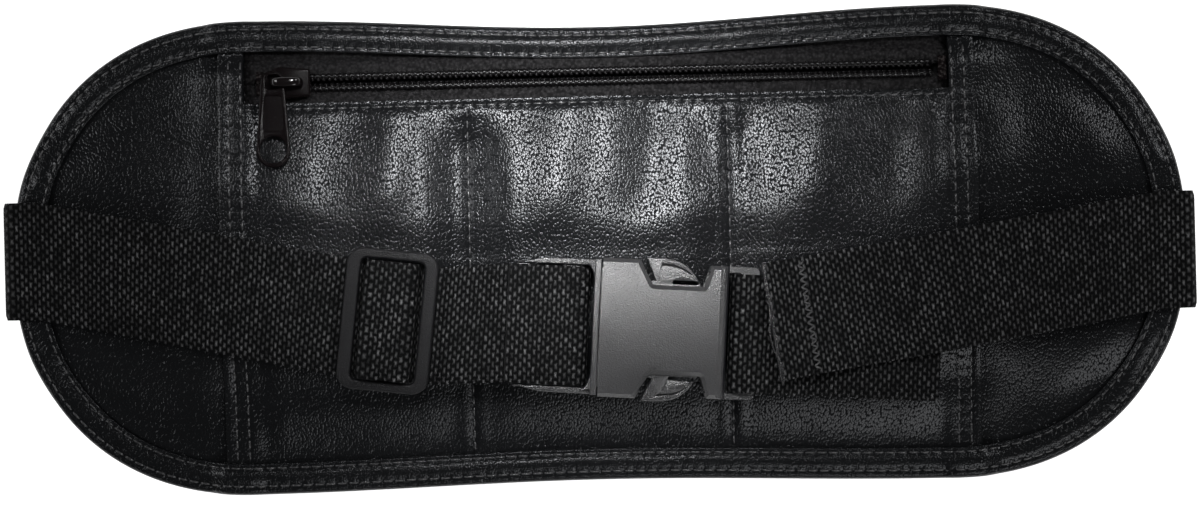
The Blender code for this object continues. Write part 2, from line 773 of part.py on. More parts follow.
def left_strap():
    """One length: folded behind the pouch, through the adjuster, round the plug's bar and back to the centre bar."""
    rise = WEB_BEND
    under_bar = GLIDE_LENGTH / 2 + WEB_BEND
    slot_middle = (GLIDE_LENGTH / 2 - GLIDE_BAR + CENTRE_BAR / 2 + WEB_STEP) / 2
    bar_bottom = GLIDE_Z - GLIDE_THICK / 2
    wrap_low = bar_bottom - CLEAR - WEB / 2
    wrap_high = bar_bottom + CENTRE_BAR_THICK + CLEAR + WEB / 2
    wrap_round = (wrap_high - wrap_low) / 2
    wrap_side = CENTRE_BAR / 2 + 1.5 * CLEAR + WEB / 2
    hump = wrap_high + WEB_STEP
    over = [(-under_bar, RUNNING_WEB), (-slot_middle, RUNNING_WEB, rise), (-slot_middle, hump, rise),
            (slot_middle, hump, rise), (slot_middle, RUNNING_WEB, rise), (under_bar, RUNNING_WEB)]
    plug_reach = PLUG_LENGTH + WEB
    plug_turn = -PLUG_BAR_START + PLUG_BAR + WRAP_REACH
    round_plug = [(-plug_reach, BUCKLE_Z + BAR_WRAP), (plug_turn, BUCKLE_Z + BAR_WRAP, BAR_WRAP),
                  (plug_turn, BUCKLE_Z - BAR_WRAP, BAR_WRAP), (-plug_reach, BUCKLE_Z - BAR_WRAP)]
    back = [(under_bar, RETURN_WEB), (CENTRE_BAR + WEB_BEND / 4, RETURN_WEB, WEB_BEND),
            (CENTRE_BAR / 4, wrap_low, WEB_BEND), (-wrap_side, wrap_low, wrap_round),
            (-wrap_side, wrap_high, wrap_round), (CENTRE_BAR, wrap_high)]
    stations = joined(
        round_the_end(-1, LEFT_Y),
        local_stations(rounded_path(over), GLIDE_PLACE, GLIDE_TURN),
        local_stations(rounded_path(round_plug), BUCKLE_PLACE, BUCKLE_TURN),
        local_stations(rounded_path(back), GLIDE_PLACE, GLIDE_TURN),
    )
    return web("left_strap", stations)


def right_strap():
    """Folded behind the pouch, round its right end and over the housing's loop to a cut end."""
    end = round_the_end(1, RIGHT_Y)
    top = BUCKLE_Z + BAR_WRAP + WEB_STEP
    past_tail = LOOP_LOWER - CUT_PAST_BAR
    run = [(0.0, top), (CUT_DROP, RUNNING_WEB + WEB_STEP), (CUT_SETTLE, RUNNING_WEB), (past_tail, RUNNING_WEB)]
    stations = joined(end, local_stations(run, CUT_END, CUT_TURN)[::-1])
    return web("right_strap", stations[::-1])


def housing_loop():
    """Short webbing round the housing's bar, both tails under the cut end of the strap."""
    turn = BAR_START - WRAP_REACH
    settle = BAR_END + LOOP_SETTLE
    corners = [(BAR_END + LOOP_UPPER, RUNNING_WEB), (settle + WEB, RUNNING_WEB, LOOP_EASE),
               (BAR_END, BUCKLE_Z + BAR_WRAP, LOOP_EASE), (turn, BUCKLE_Z + BAR_WRAP, BAR_WRAP),
               (turn, BUCKLE_Z - BAR_WRAP, BAR_WRAP), (BAR_END, BUCKLE_Z - BAR_WRAP, LOOP_EASE),
               (settle, RETURN_WEB, LOOP_EASE), (BAR_END + LOOP_LOWER, RETURN_WEB)]
    return web("housing_loop", local_stations(rounded_path(corners), BUCKLE_PLACE, BUCKLE_TURN))


# Adjuster and buckle


def triglide():
    """Three bar adjuster: a round cornered frame with a thin centre bar."""
    carrier = new_empty("triglide_place", (*GLIDE_PLACE, GLIDE_Z), GLIDE_TURN)
    half = (GLIDE_LENGTH / 2, GUIDE_HALF + GLIDE_RAIL)
    inner = (half[0] - GLIDE_BAR, GUIDE_HALF)
    outer_loop = rounded_box((-half[0], -half[1]), half, GLIDE_ROUND)
    inner_loop = rounded_box((-inner[0], -inner[1]), inner, GLIDE_ROUND / 3)
    obj = plate("triglide", [outer_loop, inner_loop], GLIDE_THICK / 2, ADJUSTER_MATERIAL, carrier,
                round_edge=GLIDE_THICK / 6)
    shade_smooth(obj)
    reach = GUIDE_HALF + GLIDE_RAIL / 2
    bottom = -GLIDE_THICK / 2
    bar = box("triglide_bar", (-CENTRE_BAR / 2, -reach, bottom),
              (CENTRE_BAR / 2, reach, bottom + CENTRE_BAR_THICK), ADJUSTER_MATERIAL, carrier)
    boolean(obj, bar, "UNION")
    return obj


def buckle_plug(carrier):
    """Web frame with two bars, the base that meets the housing's mouth and the guide tongue."""
    side = BUCKLE_WIDTH / 2 - CLEAR
    shoulder = side - CLEAR
    tip = shoulder - PLUG_TAPER
    bar_start = -PLUG_BAR_START
    bar_end = bar_start + PLUG_BAR
    root = -PLUG_BASE / 2
    frame = [(-PLUG_LENGTH, -tip), (root, -shoulder), (root, shoulder), (-PLUG_LENGTH, tip)]
    rear_slot = rounded_box((-PLUG_LENGTH + PLUG_END_BAR, -GUIDE_HALF), (bar_start, GUIDE_HALF), SLOT_ROUND / 2, 3)
    wide = GUIDE_HALF + CLEAR / 3
    front_slot = rounded_box((bar_end, -wide), (-PLUG_BASE, wide), SLOT_ROUND, 4)
    obj = plate("buckle_plug", [frame, rear_slot, front_slot], BAR_THICK / 2, BUCKLE_MATERIAL, carrier)
    start = -PLUG_LENGTH + CLEAR
    inner = GUIDE_HALF + CLEAR
    for sign in (1, -1):
        corners = [(start, inner), (root - CLEAR, inner), (root - CLEAR, shoulder - CLEAR / 2), (start, tip - CLEAR / 2)]
        loop = [(u, sign * v) for u, v in corners][::sign]
        rail = plate("plug_rail", [loop], PLUG_RAIL_THICK / 2, BUCKLE_MATERIAL, carrier)
        boolean(obj, rail, "UNION")
    base_low = (-PLUG_BASE - CLEAR, -side, -PLUG_BASE_THICK / 2)
    base_high = (-CLEAR, side, PLUG_BASE_THICK / 2)
    boolean(obj, box("plug_base", base_low, base_high, BUCKLE_MATERIAL, carrier), "UNION")
    fit = CAVITY_WIDTH / 2 - CLEAR
    fit_z = CAVITY_HEIGHT / 2 - CLEAR
    spigot_end = ARM_PIVOT[0] - ARM_WIDTH / 2 - CLEAR
    spigot = box("plug_spigot", (root + CLEAR, -fit, -fit_z), (spigot_end, fit, fit_z), BUCKLE_MATERIAL, carrier)
    boolean(obj, spigot, "UNION")
    tongue = plate("plug_tongue", [rounded_box((0.0, -TONGUE_WIDTH / 2),
                                               (TONGUE_LENGTH, TONGUE_WIDTH / 2), TONGUE_WIDTH / 4, 3)],
                   TONGUE_THICK / 2, BUCKLE_MATERIAL, carrier)
    boolean(obj, tongue, "UNION")
    return obj


def head_curve(width):
    """Outer side of a latch head, from its shoulder to its tip, moved in by width."""
    side = BUCKLE_WIDTH / 2 + HEAD_PROUD - width
    shoulder = WINDOW_OUTER[0] + 4 * CLEAR + width
    tip = WINDOW_INNER[1] - 2 * CLEAR - width
    depth = WINDOW_DEPTH + HEAD_PROUD - 2 * width
    return [(mix(shoulder, tip, t ** 0.75), side - depth * t ** 3) for t in (i / 9 for i in range(10))]


def latch_arm(name, sign, carrier):
    """Spring arm of the plug: a thin stem from its root to a head that fills the housing's window."""
    pivot = new_empty(name + "_pivot", (ARM_PIVOT[0], sign * ARM_PIVOT[1], 0.0))
    pivot.parent = carrier
    half = ARM_WIDTH / 2
    window_floor = BUCKLE_WIDTH / 2 - WINDOW_DEPTH
    neck = WINDOW_INNER[0] + 2 * CLEAR
    under = window_floor - CLEAR - half / 2
    root = arc(ARM_PIVOT, half, 90, 270, 6)
    head = head_curve(0.0)
    loop = root + [(neck, under - half), (head[-1][0] - half, under - half / 2)] + head[::-1]
    loop.append((neck, window_floor + half))
    loop = [(u - ARM_PIVOT[0], sign * (v - ARM_PIVOT[1])) for u, v in loop][::sign]
    obj = plate(name, [loop], ARM_THICK / 2, BUCKLE_MATERIAL, pivot)
    rim = head_curve(HEAD_RIM)
    floor = [(neck + HEAD_RIM + half / 2, window_floor + half / 2)] + [(rim[-2][0], window_floor + half / 2)]
    recess = [(u - ARM_PIVOT[0], sign * (v - ARM_PIVOT[1])) for u, v in floor + rim[-2:0:-1]][::sign]
    cutter = plate(name + "_recess", [recess], HEAD_RECESS, BUCKLE_MATERIAL, pivot, ARM_THICK / 2)
    boolean(obj, cutter, "DIFFERENCE")
    return obj


def buckle_housing(carrier):
    """Hollow housing, crowned across, with a latch window in each side and a web bar behind."""
    half = BUCKLE_WIDTH / 2
    rear = HOUSING_REAR / 2
    floor = half - WINDOW_DEPTH
    side = [(0.0, half), (WINDOW_OUTER[0], half), (WINDOW_INNER[0], floor), (WINDOW_INNER[1], floor),
            (WINDOW_OUTER[1], rear), (HOUSING_LENGTH, rear)]
    loop = [(u, -v) for u, v in side] + side[::-1]
    obj = plate("buckle_housing", [loop], HOUSING_THICK, BUCKLE_MATERIAL, carrier)
    crown = []
    crown_steps = 12
    for i in range(crown_steps + 1):
        v = mix(-half - CLEAR, half + CLEAR, i / crown_steps)
        crown.append((v, mix(HOUSING_THICK, HOUSING_EDGE, (v / half) ** 2) / 2))
    section = crown[::-1] + [(v, -w) for v, w in crown]
    along = Matrix(((0, 0, 1, 0), (1, 0, 0, 0), (0, 1, 0, 0), (0, 0, 0, 1)))
    lens = plate("housing_crown", [section], 2 * HOUSING_LENGTH, BUCKLE_MATERIAL, carrier, matrix=along)
    boolean(obj, lens, "INTERSECT")
    cavity = box("housing_cavity", (-HOUSING_LENGTH, -CAVITY_WIDTH / 2, -CAVITY_HEIGHT / 2),
                 (CAVITY_DEPTH, CAVITY_WIDTH / 2, CAVITY_HEIGHT / 2), BUCKLE_MATERIAL, carrier)
    boolean(obj, cavity, "DIFFERENCE")
    frame = rounded_box((HOUSING_LENGTH - CAVITY_WALL / 2, -rear), (BAR_END, rear), BAR_THICK / 2, 3)
    slot = rounded_box((HOUSING_LENGTH, -GUIDE_HALF), (BAR_START, GUIDE_HALF), BAR_THICK / 4, 3)
    web_frame = plate("housing_web_frame", [frame, slot], BAR_THICK / 2, BUCKLE_MATERIAL, carrier)
    boolean(obj, web_frame, "UNION")
    return obj


def main():
    back_panel()
    pocket_lining()
    wing("left_wing", -1)
    wing("right_wing", 1)
    pocket_front()
    edge_binding()
    zip_tape("zip_tape_upper", 1)
    zip_tape("zip_tape_lower", -1)
    zip_teeth("zip_teeth_upper", 1)
    zip_teeth("zip_teeth_lower", -1)
    top_stop_x = SLIDER_X - SLIDER_LENGTH / 2 - CLEAR - STOP_LENGTH
    zip_stop("zip_top_stop_upper", top_stop_x, (1,))
    zip_stop("zip_top_stop_lower", top_stop_x, (-1,))
    zip_stop("zip_bottom_stop", TRAVEL_END_X + CLEAR, (1, -1))
    carrier = new_empty("slider_place", (SLIDER_X, ZIP_Y, 0.0))
    slider_body(carrier)
    slider_bridge(carrier)
    pull_tab(carrier, SLIDER_X - BRIDGE_LENGTH / 2 + BRIDGE_BAR / 2)
    left_strap()
    right_strap()
    housing_loop()
    triglide()
    buckle = new_empty("buckle_place", (*BUCKLE_PLACE, BUCKLE_Z), BUCKLE_TURN)
    buckle_plug(buckle)
    latch_arm("upper_latch_arm", 1, buckle)
    latch_arm("lower_latch_arm", -1, buckle)
    buckle_housing(buckle)


clear_scene()
PARTS = new_collection("money_belt")
CUTTERS = new_collection("cutters")
LEATHER_MATERIAL = new_material("black_leather", (0.011, 0.012, 0.013), 0.38)
BINDING_MATERIAL = new_material("binding_leather", (0.011, 0.012, 0.013), 0.42)
LINING_MATERIAL = new_material("lining_cloth", (0.015, 0.015, 0.016), 0.85)
TAPE_MATERIAL = new_material("zip_tape", (0.012, 0.012, 0.013), 0.8)
TEETH_MATERIAL = new_material("zip_teeth", (0.013, 0.013, 0.014), 0.4)
METAL_MATERIAL = new_material("black_metal", (0.02, 0.02, 0.021), 0.35, 0.6)
WEB_MATERIAL = new_material("black_webbing", (0.010, 0.010, 0.011), 0.7)
ADJUSTER_MATERIAL = new_material("matte_plastic", (0.012, 0.012, 0.013), 0.55)
BUCKLE_MATERIAL = new_material("satin_plastic", (0.022, 0.022, 0.024), 0.4)
main()
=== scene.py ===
"""Looks of a black leather money belt, lying face up with its strap buckled across the face."""

import math

import bmesh
import bpy
from mathutils import Matrix, Vector, noise


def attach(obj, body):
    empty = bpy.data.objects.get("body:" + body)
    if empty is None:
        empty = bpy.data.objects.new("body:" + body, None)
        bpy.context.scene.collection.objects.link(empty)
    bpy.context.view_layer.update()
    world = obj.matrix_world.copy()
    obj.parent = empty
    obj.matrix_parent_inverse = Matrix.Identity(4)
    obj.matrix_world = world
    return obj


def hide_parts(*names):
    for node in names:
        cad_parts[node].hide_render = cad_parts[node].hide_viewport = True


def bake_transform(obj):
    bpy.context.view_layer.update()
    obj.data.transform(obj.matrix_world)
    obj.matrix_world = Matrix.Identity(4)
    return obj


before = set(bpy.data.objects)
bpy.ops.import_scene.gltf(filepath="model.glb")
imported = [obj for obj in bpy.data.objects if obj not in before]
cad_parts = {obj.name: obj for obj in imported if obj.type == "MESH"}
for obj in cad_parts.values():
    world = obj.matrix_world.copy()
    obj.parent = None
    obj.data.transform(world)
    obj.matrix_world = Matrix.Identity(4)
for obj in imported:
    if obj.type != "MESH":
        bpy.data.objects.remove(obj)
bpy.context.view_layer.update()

# Points closer than this are one point
MERGE = 1e-6

# Sizes of the solids, in metres
CLEAR = 0.0003
POUCH_LENGTH = 0.2550
POUCH_HEIGHT = 0.1032
END_DEPTH = 0.0515
END_POWER = 2.2
END_X = POUCH_LENGTH / 2 - END_DEPTH
TOP_DIP = 0.0030
BOTTOM_DIP = 0.0015
LEATHER = 0.0010
LINING = 0.0004
BINDING = 0.0006
BORDER = 0.0068
SEAM_X = 0.0820
WING_X = 0.0772
SEAM_BLEND = 0.0040
CROWN = 0.0030
QUILT_X = 0.0282
ZIP_HALF = 0.0765
ZIP_Y = 0.0378
LIP_Y = 0.0334
TAPE = 0.0005
TAPE_EDGE = 0.0010
TAPE_WIDTH = 0.0108
TAPE_FALL_START = 0.0032
TAPE_FALL = 0.0026
CHAIN_HALF = 0.0020
CHAIN_START = -0.0645
CHAIN_END = 0.0730
CHAIN_THICK = 0.0012
TOOTH_PITCH = 0.00125
SLIDER_X = -0.0669
SLIDER_LENGTH = 0.0097
SLIDER_WALL = 0.0009
BRIDGE_LENGTH = 0.0070
BRIDGE_HEIGHT = 0.0034
TAB_LENGTH = 0.0186
TAB_NECK = 0.0052
TAB_END = 0.0074
TAB_THICK = 0.0010
TAB_HOLE = 0.0058
TAB_SLOPE = math.radians(4.9)
WEB_WIDTH = 0.0254
WEB = 0.0015
LEFT_Y = 0.0004
RIGHT_Y = -0.0030
SEWN_END_X = 0.1100
FOLD_X = 0.0040
STRAP_Y = (LEFT_Y + RIGHT_Y) / 2
SIDE_CLEAR = 0.0003
GUIDE_HALF = WEB_WIDTH / 2 + SIDE_CLEAR
GLIDE_PLACE = (-0.0458, -0.0142)
GLIDE_TURN = math.radians(-7.0)
GLIDE_LENGTH = 0.0197
GLIDE_BAR = 0.0030
GLIDE_RAIL = 0.0022
GLIDE_THICK = 0.0025
CENTRE_BAR = 0.0030
CENTRE_BAR_THICK = 0.0012
WEB_BEND = 0.0015
BUCKLE_PLACE = (-0.0003, -0.0166)
BUCKLE_TURN = math.radians(-4.1)
BUCKLE_HALF = 0.01485
HOUSING_LENGTH = 0.0270
HOUSING_THICK = 0.0080
HOUSING_EDGE = 0.0058
HOUSING_REAR = 0.0142
WINDOW_DEPTH = 0.0053
WINDOW_FLOOR = BUCKLE_HALF - WINDOW_DEPTH
WINDOW_OUTER = (0.0080, 0.0230)
WINDOW_INNER = (0.0108, 0.0218)
BAR_THICK = 0.0022
BAR_START = 0.0299
BAR_END = 0.0335
PLUG_LENGTH = 0.0184
PLUG_BAR = (-0.0085, -0.0050)
PLUG_BASE = 0.0014
ARM_PIVOT = (0.0019, 0.0072)
ARM_THICK = 0.0044
CUT_END = (0.0364, -0.0164)
CUT_TURN = math.radians(8.3)
TACKED = 0.0100

# Sewing and zip details
PITCH = 0.0025
THREAD_RADIUS = 0.00023
FINE_THREAD = 0.00014
TACK_THREAD = 0.00018
LOOSE_THREAD = 0.00016
SEAM_ROWS = (0.0772, 0.0799)
LIP_ROW = LIP_Y - 0.0013
BINDING_ROWS = (0.0019, 0.0058)
BINDING_STEPS = (300, 260)
BINDING_PUFF = 0.00042
BINDING_GROOVE = 0.00026
BINDING_HOLE = 0.00032
BINDING_RIPPLE = 0.00014
JOIN_STEP = 0.00026
JOIN_X = -0.0586
TAPE_END_X = -0.0744
POST_HALF = 0.00020
POST_LENGTH = 0.0028
# One stitch from end to end: share of the way, share of the thread's radius and lift in radii
STITCH_RINGS = (
    (0.0, 0.45, -0.9),
    (0.10, 0.85, 0.0),
    (0.3, 1.0, 0.35),
    (0.7, 1.0, 0.35),
    (0.9, 0.85, 0.0),
    (1.0, 0.45, -0.9),
)
# One coil turn from its outer bend to its head: share of the way, half width and lift
COIL_TURN = (
    (0.0, 0.00020, -0.00022),
    (0.07, 0.00040, -0.00004),
    (0.30, 0.00043, 0.00010),
    (0.52, 0.00040, 0.00012),
    (0.66, 0.00026, 0.00006),
    (0.82, 0.00038, 0.00014),
    (0.94, 0.00040, 0.00012),
    (1.0, 0.00030, 0.00004),
)
COIL_CORE = (0.00062, 0.00044)
COIL_LEAN = 0.00030
COIL_GAP = POST_HALF + 0.00006

# Slack of the leather, and how its cut and turned edges are rounded
CUT_EDGE = 0.0002
TURNED_EDGE = 0.0004
STRAP_TOP = -0.0020
STRAP_RISE = 0.0150
FOLD_HEIGHT = 0.00050
PUCKER_HEIGHT = 0.00009
BASE_EASE = 0.0140
TOP_EASE = 0.0060
FOOT_EASE = 0.0140
SEWN_EASE = 0.0110
SEAM_PINCH = 0.60
SLACK = 0.0006
VALLEY = 0.0105
# Depth of the sewn lines between the compartments, left and right, and the share of it left below the straps
QUILT_DEPTH = (0.0021, 0.0011)
QUILT_BELOW = 0.25
# Upright soft ridges of the slack face below the zip: place along it, reach and height
RIDGES = (
    (-0.0640, 0.0060, 0.0004),
    (-0.0450, 0.0055, 0.0008),
    (-0.0085, 0.0060, 0.0008),
    (0.0110, 0.0055, -0.0009),
    (0.0262, 0.0040, 0.0006),
    (0.0480, 0.0055, 0.0008),
    (0.0640, 0.0060, -0.0008),
)
RIDGE_LEAN = 0.15
RIDGE_MIDDLE = 0.02

# Chamfers of the housing: width into the face and drop at the edge
WINDOW_CHAMFER = (0.0009, 0.0008)
SIDE_CHAMFER = (0.0008, 0.0007)
REAR_ROLL = ((0.0018, 0.0002), (0.0011, 0.0005), (0.0006, 0.0009))

# View from above: width of the frame and the level that it is measured at, shift along its up direction, turn
FRAME_WIDTH = 0.2598
FRAME_LEVEL = 0.008
FRAME_SHIFT = -0.00303
FRAME_TURN = math.radians(1.4)

# Floor: half its size, and its glow where it is seen
FLOOR_HALF = 3.0
FLOOR_GLOW = 0.90

# Lamps: place, what each one points at, size, power in watts and spread in degrees
LAMPS = {
    "key": ((-0.014, 0.104, 0.265), (-0.006, 0.018, 0.0), (0.07, 0.05), 0.042, 31),
    "side": ((-0.60, 0.20, 0.45), (0.0, 0.0, 0.0), (0.20, 0.35), 1.7, 180),
    "right": ((0.45, 0.30, 0.45), (0.05, 0.0, 0.0), (0.20, 0.20), 1.4, 180),
    "fill": ((0.26, -0.55, 0.60), (0.0, 0.0, 0.0), (0.5, 0.3), 2.1, 180),
}

# Levels that follow from the sizes
WEB_STEP = WEB + CLEAR
LOW_WEB = WEB / 2
HIGH_WEB = LOW_WEB + WEB_STEP
BACK_LEVEL = BINDING + CLEAR
LIFT = HIGH_WEB + WEB / 2 + CLEAR - BACK_LEVEL
FRONT_LEVEL = BACK_LEVEL + LEATHER + CLEAR
BINDING_LEVEL = FRONT_LEVEL + LEATHER + 1.5 * CLEAR
POCKET_SEAT = LINING + CLEAR
LAP = LEATHER + 1.5 * CLEAR
TAPE_LEVEL = FRONT_LEVEL + LINING + CLEAR + SLIDER_WALL + CLEAR
TOOTH_LEVEL = TAPE_LEVEL + TAPE + CLEAR
SLIDER_LEVEL = TAPE_LEVEL - CLEAR - SLIDER_WALL
SLIDER_TOP = TOOTH_LEVEL + CHAIN_THICK + CLEAR + SLIDER_WALL
LIP_RISE = TAPE_LEVEL + TAPE + CLEAR - FRONT_LEVEL - POCKET_SEAT
INSET = BINDING + CLEAR
PLATEAU = WEB_WIDTH / 2 + abs(LEFT_Y - RIGHT_Y) / 2 + 0.0026
FACE_TOP = LIFT + FRONT_LEVEL + POCKET_SEAT + CROWN + LEATHER
END_WEB = LIFT + BINDING_LEVEL + BINDING + CLEAR + WEB / 2
RETURN_WEB = FACE_TOP + CLEAR + WEB / 2
RUNNING_WEB = RETURN_WEB + WEB_STEP
GLIDE_Z = RUNNING_WEB + WEB / 2 + CLEAR + GLIDE_THICK / 2
BUCKLE_Z = FACE_TOP + CLEAR + HOUSING_THICK / 2
BAR_WRAP = BAR_THICK / 2 + CLEAR + WEB / 2
WRAP_REACH = BAR_WRAP - BAR_THICK / 5
CUT_LEVEL = BUCKLE_Z + BAR_WRAP + WEB_STEP


def smooth(value):
    value = min(max(value, 0.0), 1.0)
    return value * value * (3 - 2 * value)


def mix(low, high, share):
    return low + (high - low) * share


def bell(distance, width):
    return math.exp(-(distance / width) ** 2)


def signed_power(value, power):
    return math.copysign(abs(value) ** power, value)


def mirrored(loop, sign):
    """An outline, or with sign -1 its mirror image, in the same direction of turn."""
    return [(u, sign * v) for u, v in loop][::sign]


# Mesh helpers


def spread(stops, step):
    """Values through the stops, divided so that no gap is much over step."""
    values = [stops[0]]
    for low, high in zip(stops, stops[1:]):
        count = max(1, round((high - low) / step))
        values += [mix(low, high, (i + 1) / count) for i in range(count)]
    return values


def new_object(name, mesh, material):
    obj = bpy.data.objects.new(name, mesh)
    bpy.context.scene.collection.objects.link(obj)
    mesh.materials.clear()
    mesh.materials.append(material)
    return obj


def grid_object(name, rows, material, cut_out=None):
    """Quads through rows of points. cut_out(row, column) drops a cell."""
    width = len(rows[0])
    faces = []
    for r in range(len(rows) - 1):
        for c in range(width - 1):
            if cut_out is None or not cut_out(r, c):
                k = r * width + c
                faces.append((k, k + 1, k + width + 1, k + width))
    mesh = bpy.data.meshes.new(name)
    mesh.from_pydata([point for row in rows for point in row], [], faces)
    shape = bmesh.new()
    shape.from_mesh(mesh)
    bmesh.ops.delete(shape, geom=[v for v in shape.verts if not v.link_faces], context="VERTS")
    shape.to_mesh(mesh)
    shape.free()
    mesh.shade_smooth()
    return new_object(name, mesh, material)


def thicken(obj, thickness, offset=1.0, edge=0.0):
    """Gives a sheet its thickness, and rounds its cut edge."""
    solid = obj.modifiers.new("thickness", "SOLIDIFY")
    solid.thickness = thickness
    solid.offset = offset
    solid.use_even_offset = True
    if edge:
        soften(obj, edge, 2, 50)


def soften(obj, width, segments, angle):
    bevel = obj.modifiers.new("soft_edges", "BEVEL")
    bevel.width = width
    bevel.segments = segments
    bevel.limit_method = "ANGLE"
    bevel.angle_limit = math.radians(angle)
    bevel.harden_normals = False


def flat_area(obj):
    """Area of a sheet seen from above, before it has thickness."""
    total = 0.0
    for face in obj.data.polygons:
        total += face.area * abs(face.normal.z)
    return total


def baked(obj):
    """Applies the modifiers, so that the mesh is final."""
    bpy.context.view_layer.update()
    graph = bpy.context.evaluated_depsgraph_get()
    mesh = bpy.data.meshes.new_from_object(obj.evaluated_get(graph))
    obj.modifiers.clear()
    obj.data = mesh


def plate(loops, half, edge=0.0, segments=2, matrix=None):
    """A flat plate from closed outlines as a bmesh, the first one outside and the rest holes."""
    curve = bpy.data.curves.new("outline", "CURVE")
    curve.dimensions = "2D"
    curve.fill_mode = "BOTH"
    curve.extrude = half - edge
    curve.bevel_depth = edge
    curve.bevel_resolution = segments
    curve.offset = -edge
    for loop in loops:
        spline = curve.splines.new("POLY")
        spline.points.add(len(loop) - 1)
        for point, (x, y) in zip(spline.points, loop):
            point.co = (x, y, 0.0, 1.0)
        spline.use_cyclic_u = True
    guide = bpy.data.objects.new("outline", curve)
    bpy.context.scene.collection.objects.link(guide)
    bpy.context.view_layer.update()
    graph = bpy.context.evaluated_depsgraph_get()
    mesh = bpy.data.meshes.new_from_object(guide.evaluated_get(graph))
    bpy.data.objects.remove(guide)
    bpy.data.curves.remove(curve)
    shape = bmesh.new()
    shape.from_mesh(mesh)
    bpy.data.meshes.remove(mesh)
    bmesh.ops.remove_doubles(shape, verts=shape.verts, dist=MERGE)
    outward(shape)
    if matrix is not None:
        bmesh.ops.transform(shape, matrix=matrix, verts=shape.verts)
    return shape


def block(low, high):
    """A box as a bmesh."""
    shape = bmesh.new()
    bmesh.ops.create_cube(shape, size=1.0)
    bmesh.ops.scale(shape, vec=Vector(high) - Vector(low), verts=shape.verts)
    bmesh.ops.translate(shape, vec=(Vector(high) + Vector(low)) / 2, verts=shape.verts)
    return shape


def outward(shape):
    """Turns the faces of a bmesh outward."""
    bmesh.ops.recalc_face_normals(shape, faces=shape.faces)
    return shape


def ring(shape, centre, across, up, count):
    """Loop of vertices round a centre, from the two half axes of an ellipse."""
    loop = []
    for k in range(count):
        angle = 2 * math.pi * k / count
        loop.append(shape.verts.new(centre + across * math.cos(angle) + up * math.sin(angle)))
    return loop


def tube(shape, loops):
    """Closed tube through loops of vertices."""
    count = len(loops[0])
    for first, second in zip(loops, loops[1:]):
        for k in range(count):
            n = (k + 1) % count
            shape.faces.new((first[k], first[n], second[n], second[k]))
    shape.faces.new(loops[0][::-1])
    shape.faces.new(loops[-1])


def level_tube(shape, rings):
    """Closed tube through rings of (centre, across radius, height radius, across direction)."""
    loops = []
    for centre, wide, tall, across in rings:
        loops.append(ring(shape, centre, across * wide, Vector((0, 0, tall)), 8))
    tube(shape, loops)


def as_object(name, shapes, material, matrix=None, angle=35):
    """One object from several bmeshes, placed by a matrix."""
    mesh = bpy.data.meshes.new(name)
    whole = bmesh.new()
    for shape in shapes:
        shape.to_mesh(mesh)
        shape.free()
        whole.from_mesh(mesh)
    if matrix is not None:
        bmesh.ops.transform(whole, matrix=matrix, verts=whole.verts)
    whole.to_mesh(mesh)
    whole.free()
    mesh.shade_smooth()
    mesh.set_sharp_from_angle(angle=math.radians(angle))
    return new_object(name, mesh, material)


def round_object(name, shape, material):
    """One object from a bmesh of round forms, smooth all over."""
    mesh = bpy.data.meshes.new(name)
    outward(shape).to_mesh(mesh)
    shape.free()
    mesh.shade_smooth()
    return new_object(name, mesh, material)


def combine(obj, shape, operation):
    """Boolean with a bmesh, applied at once."""
    other = as_object("other", [shape], obj.data.materials[0])
    modifier = obj.modifiers.new("combine", "BOOLEAN")
    modifier.operation = operation
    modifier.object = other
    modifier.solver = "EXACT"
    baked(obj)
    bpy.data.objects.remove(other)


def placed(place, height, turn):
    return Matrix.Translation((*place, height)) @ Matrix.Rotation(turn, 4, "Z")


def arc(centre, radius, start, end, steps):
    """Points on a circle, with angles in degrees."""
    points = []
    for i in range(steps + 1):
        angle = math.radians(mix(start, end, i / steps))
        points.append((centre[0] + radius * math.cos(angle), centre[1] + radius * math.sin(angle)))
    return points


def rounded_box(low, high, radius, steps=8):
    """A rectangle with round corners, counter-clockwise."""
    points = []
    corners = ((high[0], high[1], 0), (low[0], high[1], 90), (low[0], low[1], 180), (high[0], low[1], 270))
    for x, y, start in corners:
        centre = (x - math.copysign(radius, x - (low[0] + high[0]) / 2),
                  y - math.copysign(radius, y - (low[1] + high[1]) / 2))
        points += arc(centre, radius, start, start + 90, steps)
    return points


def rounded_path(corners, steps=8):
    """Points along straight runs, with each corner (a, b, radius) turned into an arc."""
    path = [corners[0][:2]]
    for before, here, after in zip(corners, corners[1:], corners[2:]):
        corner = Vector(here[:2])
        back = (Vector(before[:2]) - corner).normalized()
        on = (Vector(after[:2]) - corner).normalized()
        half = back.angle(on) / 2
        reach = here[2] / math.tan(half)
        centre = corner + (back + on).normalized() * (here[2] / math.sin(half))
        first = corner + back * reach - centre
        swing = first.angle_signed(corner + on * reach - centre)
        for i in range(steps + 1):
            turned = first.copy()
            turned.rotate(Matrix.Rotation(-swing * i / steps, 2))
            path.append(tuple(centre + turned))
    path.append(corners[-1][:2])
    return path


# Materials


def map_range(node, low, high, start, end):
    """Sets a Map Range node, so that low..high becomes start..end."""
    for key, number in (("From Min", low), ("From Max", high), ("To Min", start), ("To Max", end)):
        node.inputs[key].default_value = number
    return node.outputs["Result"]


